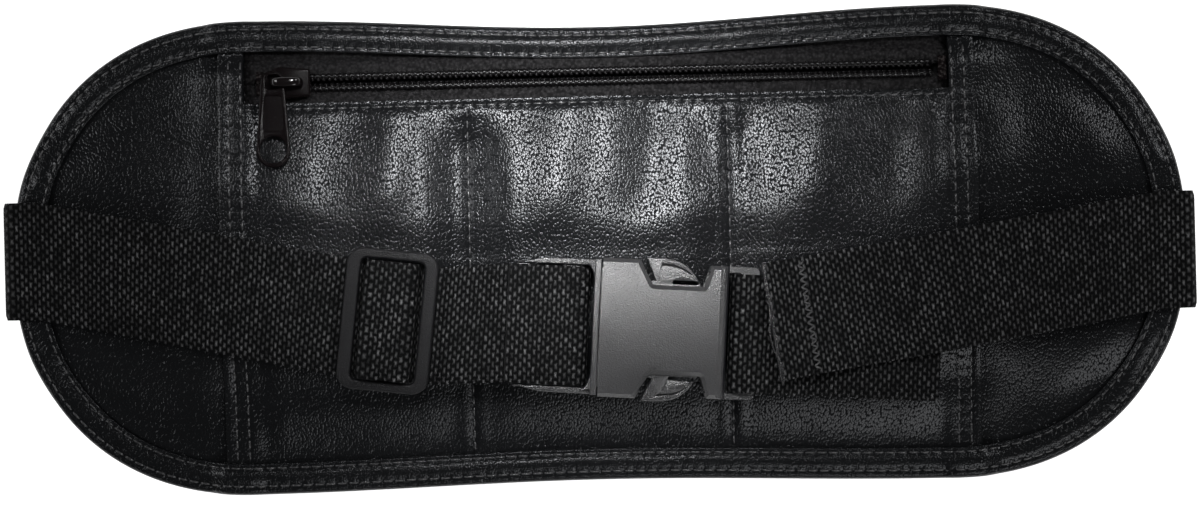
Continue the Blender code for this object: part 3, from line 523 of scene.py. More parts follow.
class Shader:
    """A Principled material with short calls for its nodes."""

    def __init__(self, name, colour, roughness, metallic=0.0, specular=0.5):
        self.material = bpy.data.materials.new(name)
        self.material.use_nodes = True
        self.tree = self.material.node_tree
        self.surface = self.tree.nodes["Principled BSDF"]
        self.set("Base Color", (*colour, 1.0))
        self.set("Roughness", roughness)
        self.set("Metallic", metallic)
        self.set("Specular IOR Level", specular)

    def set(self, socket, value):
        self.surface.inputs[socket].default_value = value

    def plug(self, socket, value):
        """Sets a socket to a value, or links it to another node's output."""
        if isinstance(value, bpy.types.NodeSocket):
            self.tree.links.new(value, socket)
        else:
            socket.default_value = value

    def node(self, kind, settings=None, **inputs):
        node = self.tree.nodes.new("ShaderNode" + kind)
        for key, value in (settings or {}).items():
            setattr(node, key, value)
        for key, value in inputs.items():
            self.plug(node.inputs[key.replace("_", " ")], value)
        return node

    def position(self, scale=(1, 1, 1)):
        """Object coordinates in metres, scaled."""
        place = self.node("TexCoord").outputs["Object"]
        return self.node("Mapping", Vector=place, Scale=scale).outputs["Vector"]

    def noise(self, vector, scale, detail=3.0, roughness=0.5):
        node = self.node("TexNoise", Vector=vector, Scale=scale, Detail=detail, Roughness=roughness)
        return node.outputs["Fac"]

    def pushed(self, vector, scale, detail, reach, stretch):
        """Coordinates pushed about by a noise, then stretched."""
        push = self.node("TexNoise", Vector=vector, Scale=scale, Detail=detail).outputs["Color"]
        moved = self.node("VectorMath", {"operation": "MULTIPLY_ADD"})
        for socket, value in zip(moved.inputs, (push, reach, vector)):
            self.plug(socket, value)
        return self.node("Mapping", Vector=moved.outputs["Vector"], Scale=stretch).outputs["Vector"]

    def cells(self, vector, scale, feature="SMOOTH_F1", dimensions="3D"):
        settings = {"voronoi_dimensions": dimensions, "feature": feature}
        return self.node("TexVoronoi", settings, Vector=vector, Scale=scale).outputs["Distance"]

    def ramp(self, value, low, high, start, end):
        """Maps low..high of a value to start..end."""
        return map_range(self.node("MapRange", Value=value), low, high, start, end)

    def colour(self, share, first, second):
        """Base colour between two colours, by a share that varies."""
        node = self.node("Mix", {"data_type": "RGBA"})
        colours = [socket for socket in node.inputs if socket.type == "RGBA"]
        self.plug(node.inputs["Factor"], share)
        for socket, colour in zip(colours, (first, second)):
            socket.default_value = (*colour, 1.0)
        mixed = [socket for socket in node.outputs if socket.type == "RGBA"][0]
        self.feed("Base Color", mixed)

    def math(self, operation, first, second):
        node = self.node("Math", {"operation": operation})
        for socket, value in zip(node.inputs, (first, second)):
            self.plug(socket, value)
        return node.outputs["Value"]

    def dome(self, distance):
        """Turns the distance from a cell's middle into a low top with steep sides."""
        return self.math("SUBTRACT", 1.0, self.math("POWER", distance, 3.0))

    def feed(self, socket, value):
        self.plug(self.surface.inputs[socket], value)

    def bump(self, height, distance, strength=1.0, under=None):
        """Normal for a height in metres, on top of the normal of a bump under it."""
        node = self.node("Bump", Height=height, Distance=distance, Strength=strength)
        if under is not None:
            self.plug(node.inputs["Normal"], under)
        return node.outputs["Normal"]


def leather_material(name, grain=1.0):
    """Pebbled black leather with a soft gloss."""
    shader = Shader(name, (0.006, 0.007, 0.008), 0.22, specular=0.21)
    shader.set("Specular Tint", (0.95, 0.965, 1.0, 1.0))
    place = shader.position()
    broad = shader.noise(place, 45.0, 4.0)
    stretched = shader.pushed(place, 650.0, 2.0, (0.0008, 0.0008, 0.0), (1.0, 0.74, 1.0))
    pebble = shader.dome(shader.cells(stretched, 2150.0 * grain, "F1", "2D"))
    coarse = shader.dome(shader.cells(stretched, 850.0 * grain, "F1", "2D"))
    fine = shader.noise(place, 5200.0 * grain, 2.0)
    shader.colour(broad, (0.0050, 0.0053, 0.0059), (0.0078, 0.0082, 0.0090))
    shader.feed("Roughness", shader.ramp(broad, 0.3, 0.7, 0.19, 0.25))
    normal = shader.bump(coarse, 0.00002, 0.9)
    normal = shader.bump(pebble, 0.00011, 0.95, normal)
    shader.feed("Normal", shader.bump(fine, 0.000015, 0.5, normal))
    return shader.material


def thread_material():
    """Black sewing thread with a twist."""
    shader = Shader("thread", (0.008, 0.008, 0.009), 0.34, specular=0.9)
    twist = shader.noise(shader.position(), 4200.0, 1.0)
    shader.colour(twist, (0.006, 0.006, 0.007), (0.050, 0.050, 0.053))
    shader.feed("Normal", shader.bump(twist, 0.00004, 0.7))
    return shader.material


def webbing_material():
    """Woven webbing: short floats across the strap, staggered from row to row, coloured light as a painted
    highlight, on a near-black ground darkened further as painted shade between them.
    """
    shader = Shader("woven_webbing", (0.010, 0.010, 0.011), 0.70, specular=0.07)
    uv = shader.node("UVMap", {"uv_map": "weave"}).outputs["UV"]
    wander = shader.noise(uv, 520.0, 2.0)
    drift = shader.noise(uv, 130.0, 3.0)
    place = shader.pushed(uv, 1000.0, 1.0, (0.00075, 0.00055, 0.0), (0.55, 1.0, 1.0))
    # Floats white as a painted highlight, mortar black as painted shade in the gaps between the floats
    highlight_and_shade_tones = dict(Color1=(1.0, 1.0, 1.0, 1.0), Color2=(0.25, 0.25, 0.25, 1.0), Mortar=(0.0, 0.0, 0.0, 1.0))
    rows = dict(Mortar_Size=0.55, Mortar_Smooth=0.85, Bias=-0.2, Brick_Width=1.03, Row_Height=0.95)
    settings = {"offset": 0.5, "offset_frequency": 2}
    weave = shader.node("TexBrick", settings, Vector=place, Scale=1000.0, **highlight_and_shade_tones, **rows)
    light = shader.math("MULTIPLY", weave.outputs["Color"], shader.ramp(wander, 0.3, 0.7, 0.35, 1.2))
    light = shader.math("MULTIPLY", light, shader.ramp(drift, 0.3, 0.7, 0.6, 1.15))
    # Base colour from near black, the painted shade, to light grey, the painted highlight on the floats
    shader.colour(light, (0.0008, 0.0009, 0.0011), (0.160, 0.160, 0.164))
    raised = shader.math("SUBTRACT", 1.0, weave.outputs["Fac"])
    fibre = shader.noise(shader.position((1.0, 0.4, 1.0)), 5200.0, 2.0)
    normal = shader.bump(raised, 0.00032, 0.9)
    shader.feed("Normal", shader.bump(fibre, 0.00008, 0.5, normal))
    return shader.material


def tape_material():
    """Narrow woven zip tape with a fuzzy twill."""
    shader = Shader("zip_tape_weave", (0.010, 0.010, 0.011), 0.72, specular=0.07)
    ribs = shader.noise(shader.position((1.0, 0.55, 1.0)), 2100.0, 3.0, 0.7)
    knots = shader.cells(shader.position(), 1700.0)
    lint = shader.math("MULTIPLY", ribs, shader.ramp(knots, 0.0, 0.6, 1.2, 0.2))
    shader.colour(lint, (0.0010, 0.0010, 0.0012), (0.050, 0.048, 0.050))
    normal = shader.bump(knots, 0.00018, 0.8)
    shader.feed("Normal", shader.bump(ribs, 0.00016, 0.8, normal))
    return shader.material


def lining_material():
    """Plain matt lining cloth."""
    shader = Shader("lining_weave", (0.012, 0.012, 0.013), 0.85, specular=0.2)
    weave = shader.noise(shader.position(), 1800.0, 2.0)
    shader.colour(weave, (0.006, 0.006, 0.007), (0.020, 0.020, 0.021))
    shader.feed("Normal", shader.bump(weave, 0.0001, 0.6))
    return shader.material


def coil_material():
    """Nylon coil, smooth with a small gloss."""
    shader = Shader("nylon_coil", (0.003, 0.003, 0.004), 0.30, specular=0.16)
    flow = shader.noise(shader.position(), 900.0, 2.0)
    shader.colour(flow, (0.0018, 0.0016, 0.0018), (0.0050, 0.0044, 0.0050))
    shader.feed("Roughness", shader.ramp(flow, 0.3, 0.7, 0.24, 0.36))
    return shader.material


def enamel_material(name, specular, rough):
    """Black enamelled metal with faint pits, and a lighter colour on its sharp edges among the pits."""
    shader = Shader(name, (0.004, 0.003, 0.0033), rough, specular=specular)
    place = shader.position()
    pits = shader.noise(place, 1700.0, 3.0)
    edge_sharpness = shader.node("NewGeometry").outputs["Pointiness"]
    edges = shader.ramp(edge_sharpness, 0.54, 0.64, 0.0, 1.0)
    pale_edges = shader.math("MULTIPLY", edges, shader.ramp(pits, 0.5, 0.7, 0.0, 1.0))
    # Base colour lighter on sharp edges, in patches set by the pit noise
    shader.colour(pale_edges, (0.0042, 0.0030, 0.0033), (0.040, 0.035, 0.034))
    shader.feed("Roughness", shader.ramp(pits, 0.3, 0.7, 0.75 * rough, 1.35 * rough))
    shader.feed("Normal", shader.bump(pits, 0.00002, 0.4))
    return shader.material


def plastic_material(name, dark, light, rough, specular=0.5):
    """Moulded plastic with a sanded grain and a few scuffs."""
    shader = Shader(name, dark, rough, specular=specular)
    place = shader.position()
    sand = shader.noise(place, 3200.0, 2.0, 0.6)
    broad = shader.noise(place, 130.0, 3.0)
    scuff = shader.noise(shader.position((0.25, 6.0, 1.0)), 520.0, 4.0)
    grains = shader.ramp(sand, 0.35, 0.70, 0.0, 1.0)
    specks = shader.math("MULTIPLY", grains, shader.ramp(broad, 0.3, 0.7, 0.7, 1.2))
    shader.colour(specks, dark, light)
    scuffed = shader.ramp(scuff, 0.60, 0.72, 0.0, -0.04)
    uneven = shader.ramp(broad, 0.3, 0.7, rough - 0.04, rough + 0.05)
    shader.feed("Roughness", shader.math("ADD", uneven, scuffed))
    normal = shader.bump(scuff, 0.00004, 0.10)
    shader.feed("Normal", shader.bump(sand, 0.00012, 0.9, normal))
    return shader.material


LEATHER_LOOK = leather_material("pebbled_leather")
BINDING_LOOK = leather_material("binding_leather", 1.15)
BACK_LOOK = leather_material("back_leather", 0.9)
THREAD_LOOK = thread_material()
WEB_LOOK = webbing_material()
TAPE_LOOK = tape_material()
LINING_LOOK = lining_material()
COIL_LOOK = coil_material()
METAL_LOOK = enamel_material("black_enamel", 0.06, 0.22)
BRIDGE_LOOK = enamel_material("glossy_enamel", 0.40, 0.10)
MELTED_LOOK = plastic_material("melted_nylon", (0.004, 0.004, 0.005), (0.014, 0.014, 0.016), 0.17, 1.0)
BUCKLE_LOOK = plastic_material("satin_plastic", (0.004, 0.004, 0.005), (0.016, 0.016, 0.019), 0.33, 1.0)
GLIDE_LOOK = plastic_material("matte_plastic", (0.005, 0.005, 0.006), (0.011, 0.011, 0.012), 0.48, 0.20)


# Pouch surfaces


def draw_in(x, side):
    """How far the long edge on this side is drawn in at x."""
    dip = TOP_DIP if side > 0 else BOTTOM_DIP
    if abs(x) >= END_X:
        return 0.0
    return dip * math.cos(math.pi * x / (2 * END_X)) ** 2


def end_point(side, angle, inset=0.0):
    """Point on the rounded end, from -90 degrees at the bottom edge to 90 at the top."""
    across = math.cos(math.radians(angle))
    up = math.sin(math.radians(angle))
    power = 2 / END_POWER
    x = END_X + (END_DEPTH - inset) * abs(across) ** power
    y = (POUCH_HEIGHT / 2 - inset) * signed_power(up, power)
    return side * x, y


def edge_y(x, side, inset=0.0):
    """Long edge of the pouch at x, with side 1 at the zip and -1 opposite."""
    half = POUCH_HEIGHT / 2 - inset
    past = (abs(x) - END_X) / (END_DEPTH - inset)
    if past > 0:
        half *= max(1 - past ** END_POWER, 0.0) ** (1 / END_POWER)
    return side * (half - draw_in(x, side))


def outline(end_steps, edge_steps):
    """The pouch's outline, counter-clockwise from the bottom right."""
    points = [end_point(1, mix(-90, 90, i / end_steps)) for i in range(end_steps)]
    for i in range(edge_steps):
        x = mix(END_X, -END_X, i / edge_steps)
        points.append((x, edge_y(x, 1)))
    points += [end_point(-1, mix(90, -90, i / end_steps)) for i in range(end_steps)]
    for i in range(edge_steps):
        x = mix(-END_X, END_X, i / edge_steps)
        points.append((x, edge_y(x, -1)))
    return points


def base(y):
    """Height that the pouch is lifted by the strap folded under it."""
    return LIFT * (1 - smooth((abs(y - STRAP_Y) - PLATEAU) / BASE_EASE))


def valley(distance):
    """1 on a sewn line, falling to 0 at the reach of its valley."""
    return smooth(1 - abs(distance) / VALLEY)


def strap_top(x):
    """Upper edge of the straps across the face."""
    return STRAP_TOP + STRAP_RISE * smooth((abs(x) - 0.0400) / 0.0800)


def slope(x, y):
    """Share of the face's rise from the lip to where the straps press it flat."""
    share = min(max((LIP_Y - y) / (LIP_Y - strap_top(x)), 0.0), 1.0)
    return share - 0.04 * math.sin(2 * math.pi * share)


def seam_ends(x):
    """1 on the pocket, falling to 0 on the wings."""
    reach = 0.0130
    ease = 0.0180
    return smooth((SEAM_X + reach - abs(x)) / ease)


def puff(x, y):
    """Rise of the face above its flat layer, held down at the seams and the sewn lines."""
    top = smooth((edge_y(x, 1) - BORDER - y) / TOP_EASE)
    foot = smooth((y - edge_y(x, -1) - BORDER) / FOOT_EASE)
    rise = CROWN
    if y > STRAP_Y:
        rise = mix(LIP_RISE, LIFT + CROWN, slope(x, y)) - base(y)
    sewn = smooth((LIP_Y - 0.0008 - y) / SEWN_EASE)
    rise *= 1 - SEAM_PINCH * sewn * valley(abs(x) - SEAM_X + 0.0024)
    depth = mix(QUILT_BELOW, 1.0, smooth((y + 0.0300) / 0.0300)) * QUILT_DEPTH[x > 0]
    slack = SLACK * smooth((y - strap_top(x)) / 0.0100) - depth * valley(abs(x) - QUILT_X)
    return seam_ends(x) * top * foot * (rise + sewn * slack + bulge(x, y))


def bulge(x, y):
    """Height of the ridges, which fade towards the straps and the lip."""
    lean = RIDGE_LEAN * (y - RIDGE_MIDDLE)
    height = sum(size * bell(x - place - lean, reach) for place, reach, size in RIDGES)
    return height * smooth((LIP_Y + 0.0020 - y) / 0.0060) * smooth((y - 0.0020) / 0.0120)


def lap_over(x):
    """Height of the pocket panel above the layer that the wings lie in."""
    inner = smooth((abs(x) - WING_X + SEAM_BLEND + CLEAR) / SEAM_BLEND)
    outer = 1 - smooth((abs(x) - SEAM_X - CLEAR) / SEAM_BLEND)
    return mix(POCKET_SEAT, LAP, inner) * outer


def under_strap(y):
    """1 where the straps cross the face, 0 clear of them."""
    middle = -0.0120
    half = 0.0200
    ease = 0.0080
    return 1 - smooth((abs(y - middle) - half) / ease)


def folds(x, y, seed):
    """Slack in the leather: soft folds and small puckers, flattened under the straps."""
    broad = noise.noise(Vector((x * 52 + 9 * y + seed, y * 24, seed)))
    small = noise.noise(Vector((x * 190, y * 150 + seed, 3.1)))
    return (FOLD_HEIGHT * broad + PUCKER_HEIGHT * small) * (1 - 0.88 * under_strap(y))


def pull_down(along):
    """1 at the needle holes of a stitch row, 0 at the middle of each stitch."""
    return 0.5 + 0.5 * math.cos(2 * math.pi * along / PITCH)


def row_foot(x):
    """Where an upright stitch row starts above the lower border."""
    return edge_y(x, -1) + BORDER + 0.0004


def pocket_detail(x, y, holes=1.0):
    """Turned edges, stitch grooves with their holes, and creases of the pocket panel."""
    lip = smooth((ZIP_HALF + 0.0010 - abs(x)) / 0.0020)
    lip_groove = 0.00016 + 0.00056 * holes * pull_down(x + ZIP_HALF)
    height = lip * (0.00028 * bell(y - LIP_Y + 0.0004, 0.0006) - lip_groove * bell(y - LIP_ROW, 0.00065))
    upright = holes * pull_down(y - row_foot(abs(x)))
    seam_groove = 0.00008 + 0.00030 * upright
    for row in SEAM_ROWS:
        height -= seam_groove * bell(abs(x) - row, 0.0006)
    height += 0.00024 * bell(abs(x) - SEAM_X + 0.0008, 0.0008)
    sewn = smooth((LIP_Y - 0.0012 - y) / 0.0030)
    away = abs(abs(x) - QUILT_X)
    quilt_groove = 0.00035 + 0.00020 * upright
    height += sewn * (0.00016 * bell(away - 0.0019, 0.0011) - quilt_groove * bell(away, 0.0006))
    pucker = math.sin(y * 1300 + 2.0 * math.sin(y * 410)) * bell(away, 0.0045) * sewn
    height += 0.00004 * pucker * (1 - under_strap(y))
    return height + folds(x, y, 4.0) * smooth((SEAM_X - abs(x)) / 0.0060)


def pocket_under(x, y, holes=1.0):
    return base(y) + FRONT_LEVEL + lap_over(x) + puff(x, y) + pocket_detail(x, y, holes)


def bridged(x, y):
    """Height of a wing above the back panel, where it spans the drop beside the folded straps."""
    past = max((abs(x) - END_X) / END_DEPTH, 0.0)
    radius = (past ** END_POWER + (abs(y) / (POUCH_HEIGHT / 2)) ** END_POWER) ** (1 / END_POWER)
    ease = 0.0080
    drop = 0.0215
    inside = smooth(((1 - radius) * POUCH_HEIGHT / 2 - BORDER) / ease)
    share = min(max((abs(y - STRAP_Y) - PLATEAU) / drop, 0.0), 1.0)
    span = LIFT * (1 - share + 0.10 * math.sin(2 * math.pi * share))
    return inside * max(span - base(y), 0.0) * (1 - seam_ends(x))


def wing_under(x, y):
    inside = smooth((abs(x) - SEAM_X - 0.0010) / 0.0060)
    return base(y) + FRONT_LEVEL + puff(x, y) + bridged(x, y) + folds(x, y, 9.0) * inside * 0.8


def rides(obj, body, slot, *nodes):
    """Ties a piece to its body and hides the nodes that it replaces. Its slot is not used."""
    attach(obj, body)
    if nodes:
        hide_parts(*nodes)


# Pouch pieces


def dressed(name, rows, look, thickness, slot, node, edge=0.0, cut_out=None):
    """A sheet of the pouch in the place of a solid, and its area seen from above."""
    obj = grid_object(name, rows, look, cut_out)
    area = flat_area(obj)
    thicken(obj, thickness, edge=edge)
    rides(obj, "pouch", slot, node)
    return obj, area


def back_panel():
    rows = []
    for r in range(71):
        x, y = end_point(1, mix(-90, 90, r / 70), INSET)
        row = []
        for c in range(91):
            along = mix(-x, x, c / 90)
            drawn = y - math.copysign(draw_in(along, y), y) * abs(y) / (POUCH_HEIGHT / 2 - INSET)
            row.append((along, drawn, base(drawn) + BACK_LEVEL))
        rows.append(row)
    obj, area = dressed("back_panel_leather", rows, BACK_LOOK, LEATHER, "leather", "back_panel", CUT_EDGE)


def pocket_lining():
    columns = spread([-ZIP_HALF, 0.0, ZIP_HALF], 0.0040)
    rows = []
    for r in range(41):
        row = []
        for x in columns:
            y = mix(edge_y(x, -1) + BORDER, ZIP_Y + TAPE_FALL_START, r / 40)
            row.append((x, y, base(y) + FRONT_LEVEL))
        rows.append(row)
    obj, area = dressed("pocket_lining_cloth", rows, LINING_LOOK, LINING, "lining", "pocket_lining")


def wing(name, side):
    rows = []
    for r in range(81):
        end_x, end_y = end_point(1, mix(-90, 90, r / 80), INSET)
        seam_y = edge_y(WING_X, 1, INSET) * end_y / (POUCH_HEIGHT / 2 - INSET)
        row = []
        for c in range(41):
            share = c / 40
            x = mix(WING_X, max(end_x, WING_X + CLEAR * 4 * share), share)
            y = mix(seam_y, end_y, share)
            y = math.copysign(min(abs(y), edge_y(x, 1, INSET)), y)
            row.append((side * x, y, wing_under(side * x, y)))
        rows.append(row[::side])
    obj, area = dressed(name + "_leather", rows, LEATHER_LOOK, LEATHER, "leather", name, CUT_EDGE)


def pocket_front():
    half = [0.0, QUILT_X - 0.0025, QUILT_X, QUILT_X + 0.0025, WING_X - SEAM_BLEND, ZIP_HALF, SEAM_X]
    columns = spread([-x for x in half[:0:-1]] + half, 0.00062)
    body = 134
    strip = 14
    rows = []
    for r in range(body + strip + 1):
        row = []
        for x in columns:
            if r <= body:
                y = mix(edge_y(x, -1, INSET), LIP_Y, r / body)
            else:
                y = mix(LIP_Y, edge_y(x, 1, INSET), (r - body) / strip)
            row.append((x, y, pocket_under(x, y)))
        rows.append(row)

    def in_opening(r, c):
        return r >= body and abs(columns[c] + columns[c + 1]) / 2 < ZIP_HALF

    obj, area = dressed("pocket_front_leather", rows, LEATHER_LOOK, LEATHER, "leather", "pocket_front",
                        TURNED_EDGE, in_opening)


def binding_rise(depth, x, y, marks):
    """Puffed face of the binding, drawn down along its stitch rows, flat under the straps."""
    share = min(max(depth / BORDER, 0.0), 1.0)
    height = BINDING_PUFF * math.sin(math.pi * share)
    for row, along in zip(BINDING_ROWS, marks):
        height -= (BINDING_GROOVE + BINDING_HOLE * pull_down(along)) * bell(depth - row, 0.0008)
    if y > 0:
        height += JOIN_STEP * smooth((JOIN_X - x) / 0.0006) * (1 - smooth((JOIN_X - 0.0050 - x) / 0.0060))
    ripple = noise.noise(Vector((x * 160, y * 160, depth * 300)))
    free = smooth((abs(y - STRAP_Y) - 0.0150) / 0.0040) if abs(x) > 0.1 else 1.0
    return (height + BINDING_RIPPLE * ripple) * free


def row_marks(points):
    """For each binding row, how far along it each point of the outline lies."""
    marks = []
    for row in BINDING_ROWS:
        path = [Vector(point) + inward_at(points, i) * row for i, point in enumerate(points)]
        along = [0.0]
        for before, here in zip(path, path[1:]):
            along.append(along[-1] + (here - before).length)
        marks.append(along)
    return list(zip(*marks))


def inward_at(points, i):
    """Direction from a point of the outline into the pouch."""
    ahead = Vector(points[(i + 1) % len(points)]) - Vector(points[i - 1])
    return Vector((-ahead.y, ahead.x)).normalized()


def edge_binding():
    """Strip folded round the edge: under the back panel, round the turn and over the face."""
    points = outline(*BINDING_STEPS)
    marks = row_marks(points)
    half = BINDING / 2
    round_edge = 0.0012
    turn = [(round_edge - (round_edge - half) * math.sin(math.radians(a)),
             (round_edge - half) * (1 - math.cos(math.radians(a)))) for a in (30, 60, 90)]
    under = [(mix(BORDER, round_edge, i / 3), 0.0) for i in range(4)] + turn
    over = [(mix(BORDER, round_edge, i / 13), 0.0) for i in range(14)] + turn
    rows = []
    for i in range(len(points) + 1):
        k = i % len(points)
        here = Vector(points[k])
        inward = inward_at(points, k)
        lower = []
        upper = []
        for depth, rise in under:
            x, y = here + inward * depth
            lower.append((x, y, base(y) + half + rise))
        for depth, rise in over:
            x, y = here + inward * depth
            swell = binding_rise(depth, x, y, marks[k]) if rise == 0.0 else 0.0
            upper.append((x, y, base(y) + BINDING_LEVEL + lap_over(x) + half - rise + swell))
        rows.append(lower + upper[::-1])
    obj = grid_object("edge_binding_leather", rows, BINDING_LOOK)
    shape = bmesh.new()
    shape.from_mesh(obj.data)
    bmesh.ops.remove_doubles(shape, verts=shape.verts, dist=MERGE)
    outward(shape).to_mesh(obj.data)
    shape.free()
    obj.data.shade_smooth()
    thicken(obj, BINDING, 0.0)
    rides(obj, "pouch", "binding", "edge_binding")


# Sewing


def stitch_mesh(shape, start, end, up, radius):
    """One stitch: a thread that rises out of the leather, runs and dips back."""
    along = end - start
    side = along.normalized().cross(up).normalized()
    loops = []
    for share, size, lift in STITCH_RINGS:
        centre = start + along * share + up * (lift * radius)
        loops.append(ring(shape, centre, side * radius * size, up * radius * size, 7))
    tube(shape, loops)


def walk(path, pitch):
    """Points along a path, one pitch apart in plan."""
    points = [Vector(point) for point in path]
    marks = [points[0]]
    need = pitch
    for before, here in zip(points, points[1:]):
        span = (here - before).xy.length
        done = 0.0
        while span - done >= need:
            done += need
            marks.append(before + (here - before) * (done / span))
            need = pitch
        need -= span - done
    return marks


def stitches(shape, path, pitch=PITCH, radius=THREAD_RADIUS, gap=0.09, up=Vector((0, 0, 1))):
    """A row of stitches along a path. gap is the share of the pitch left free at each end."""
    marks = walk(path, pitch)
    for before, here in zip(marks, marks[1:]):
        stitch_mesh(shape, mix(before, here, gap), mix(before, here, 1 - gap), up, radius)


def binding_path(depth, below=False):
    """Points of a stitch row at a depth in from the edge, on the face or below."""
    points = outline(*BINDING_STEPS)
    path = []
    for i in list(range(len(points))) + [0]:
        x, y = Vector(points[i]) + inward_at(points, i) * depth
        level = 0.00014
        if not below:
            swell = binding_rise(depth, x, y, (PITCH / 2, PITCH / 2))
            level = BINDING_LEVEL + lap_over(x) + BINDING + swell - 0.00008
        path.append((x, y, base(y) + level))
    return path


def pocket_path(points):
    """Points on the face, at the height between needle holes."""
    return [(x, y, pocket_under(x, y, 0.2) + LEATHER - 0.00004) for x, y in points]


def pouch_sewing():
    shape = bmesh.new()
    for row in BINDING_ROWS:
        stitches(shape, binding_path(row))
        stitches(shape, binding_path(row, True), up=Vector((0, 0, -1)), radius=FINE_THREAD)
    for side in (-1, 1):
        for row in SEAM_ROWS + (QUILT_X,):
            x = side * row
            top = LIP_ROW if row == QUILT_X else edge_y(x, 1) - BORDER - 0.0004
            stitches(shape, pocket_path([(x, mix(row_foot(x), top, i / 140)) for i in range(141)]))
    path = [(mix(-ZIP_HALF, ZIP_HALF, i / 240), LIP_ROW) for i in range(241)]
    stitches(shape, pocket_path(path))
    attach(round_object("pouch_stitches", shape, THREAD_LOOK), "pouch")


# Zip


def zip_tape(name, side):
    columns = spread([-ZIP_HALF, TAPE_END_X, TAPE_END_X + 0.0004, 0.0, ZIP_HALF], 0.0024)
    rows = []
    for r in range(23):
        row = []
        for x in columns:
            start = TAPE_EDGE if x > TAPE_END_X else 0.00004
            away = mix(start, TAPE_EDGE + TAPE_WIDTH, r / 22)
            y = min(ZIP_Y + side * away, edge_y(x, 1, INSET))
            level = TAPE_LEVEL + 0.00006 * noise.noise(Vector((x * 300, y * 500, side)))
            if side > 0:
                level = mix(level, FRONT_LEVEL, smooth((away - TAPE_FALL_START) / TAPE_FALL))
            elif y < LIP_Y + 0.0005:
                level = min(level, pocket_under(x, min(y, LIP_Y)) - base(y) - TAPE - CLEAR / 2)
            row.append((x, y, base(y) + level))
        rows.append(row)
    obj, area = dressed(name + "_cloth", rows[::side], TAPE_LOOK, TAPE, "zip_tape", name)


def coil_turn(shape, x, side):
    """One turn of the coil: a round bar that leans, with a knob where it faces the other row."""
    lean = COIL_LEAN * side
    rings = []
    for share, radius, lift in COIL_TURN:
        y = ZIP_Y + side * mix(CHAIN_HALF, COIL_GAP, share)
        centre = Vector((x + lean * (share - 0.5), y, TOOTH_LEVEL + 0.00055 + lift))
        rings.append((centre, radius, 1.1 * radius, Vector((1, 0, 0))))
    level_tube(shape, rings)


def zip_teeth(name, side):
    """One row of coil turns on its core, and the thread that sews it to the tape."""
    shape = bmesh.new()
    count = int((CHAIN_END - CHAIN_START) / TOOTH_PITCH)
    for i in range(count):
        coil_turn(shape, CHAIN_START + (i + (0.25 if side > 0 else 0.75)) * TOOTH_PITCH, side)
    core = []
    for i in range(41):
        centre = Vector((mix(CHAIN_START, CHAIN_END, i / 40), ZIP_Y + side * 0.0012, TOOTH_LEVEL + 0.00050))
        core.append((centre, *COIL_CORE, Vector((0, 1, 0))))
    level_tube(shape, core)
    rides(round_object(name + "_coil", shape, COIL_LOOK), "pouch", "zip_teeth", name)
    thread = bmesh.new()
    y = ZIP_Y + side * (CHAIN_HALF - 0.0006)
    start = CHAIN_START + TOOTH_PITCH * (0.75 if side > 0 else 0.25)
    path = [(mix(start, CHAIN_END, i / 60), y, TOOTH_LEVEL + 0.00108) for i in range(61)]
    stitches(thread, path, TOOTH_PITCH, FINE_THREAD, 0.22)
    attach(round_object(name + "_thread", thread, THREAD_LOOK), "pouch")


def zip_stops():
    """The three stops keep their solids, and only take the metal's look."""
    for name in ("zip_top_stop_upper", "zip_top_stop_lower", "zip_bottom_stop"):
        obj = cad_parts[name]
        obj.data.materials.clear()
        obj.data.materials.append(METAL_LOOK)


def slider_body():
    """Shield-shaped top and bottom plates, guide flanges and the dividing post."""
    half = SLIDER_LENGTH / 2
    wide = 0.0035
    narrow = 0.0029
    loop = [(half, -narrow), (half, narrow)] + arc((-half + wide, 0), wide, 90, 270, 28)
    loop = rounded_outline(loop, 0.0006, (0, 1))
    tall = (SLIDER_TOP - SLIDER_LEVEL) / 2
    shape = plate([loop], tall, 0.00035, 3)
    obj = as_object("slider_enamel", [shape], METAL_LOOK)
    guide = CHAIN_HALF + CLEAR
    low = SLIDER_WALL - tall
    past = SLIDER_LENGTH
    combine(obj, block((-past, -guide, low), (past, guide, tall - SLIDER_WALL)), "DIFFERENCE")
    slot_top = TOOTH_LEVEL - SLIDER_LEVEL - tall
    combine(obj, block((-past, -past, low), (past, past, slot_top)), "DIFFERENCE")
    post = rounded_box((-half, -POST_HALF), (-half + POST_LENGTH, POST_HALF), POST_HALF)
    combine(obj, plate([post], tall - SLIDER_WALL / 2), "UNION")
    obj.data.transform(Matrix.Translation((SLIDER_X, ZIP_Y, SLIDER_LEVEL + tall)))
    soften(obj, 0.00012, 2, 40)
    rides(obj, "slider", "zip_metal", "zip_slider_body")


def rounded_outline(loop, radius, chosen, steps=6):
    """Rounds the chosen corners of a closed outline."""
    result = []
    for i, here in enumerate(loop):
        if i not in chosen:
            result.append(here)
            continue
        corners = [loop[i - 1], (*here, radius), loop[(i + 1) % len(loop)]]
        result += rounded_path(corners, steps)[1:-1]
    return result


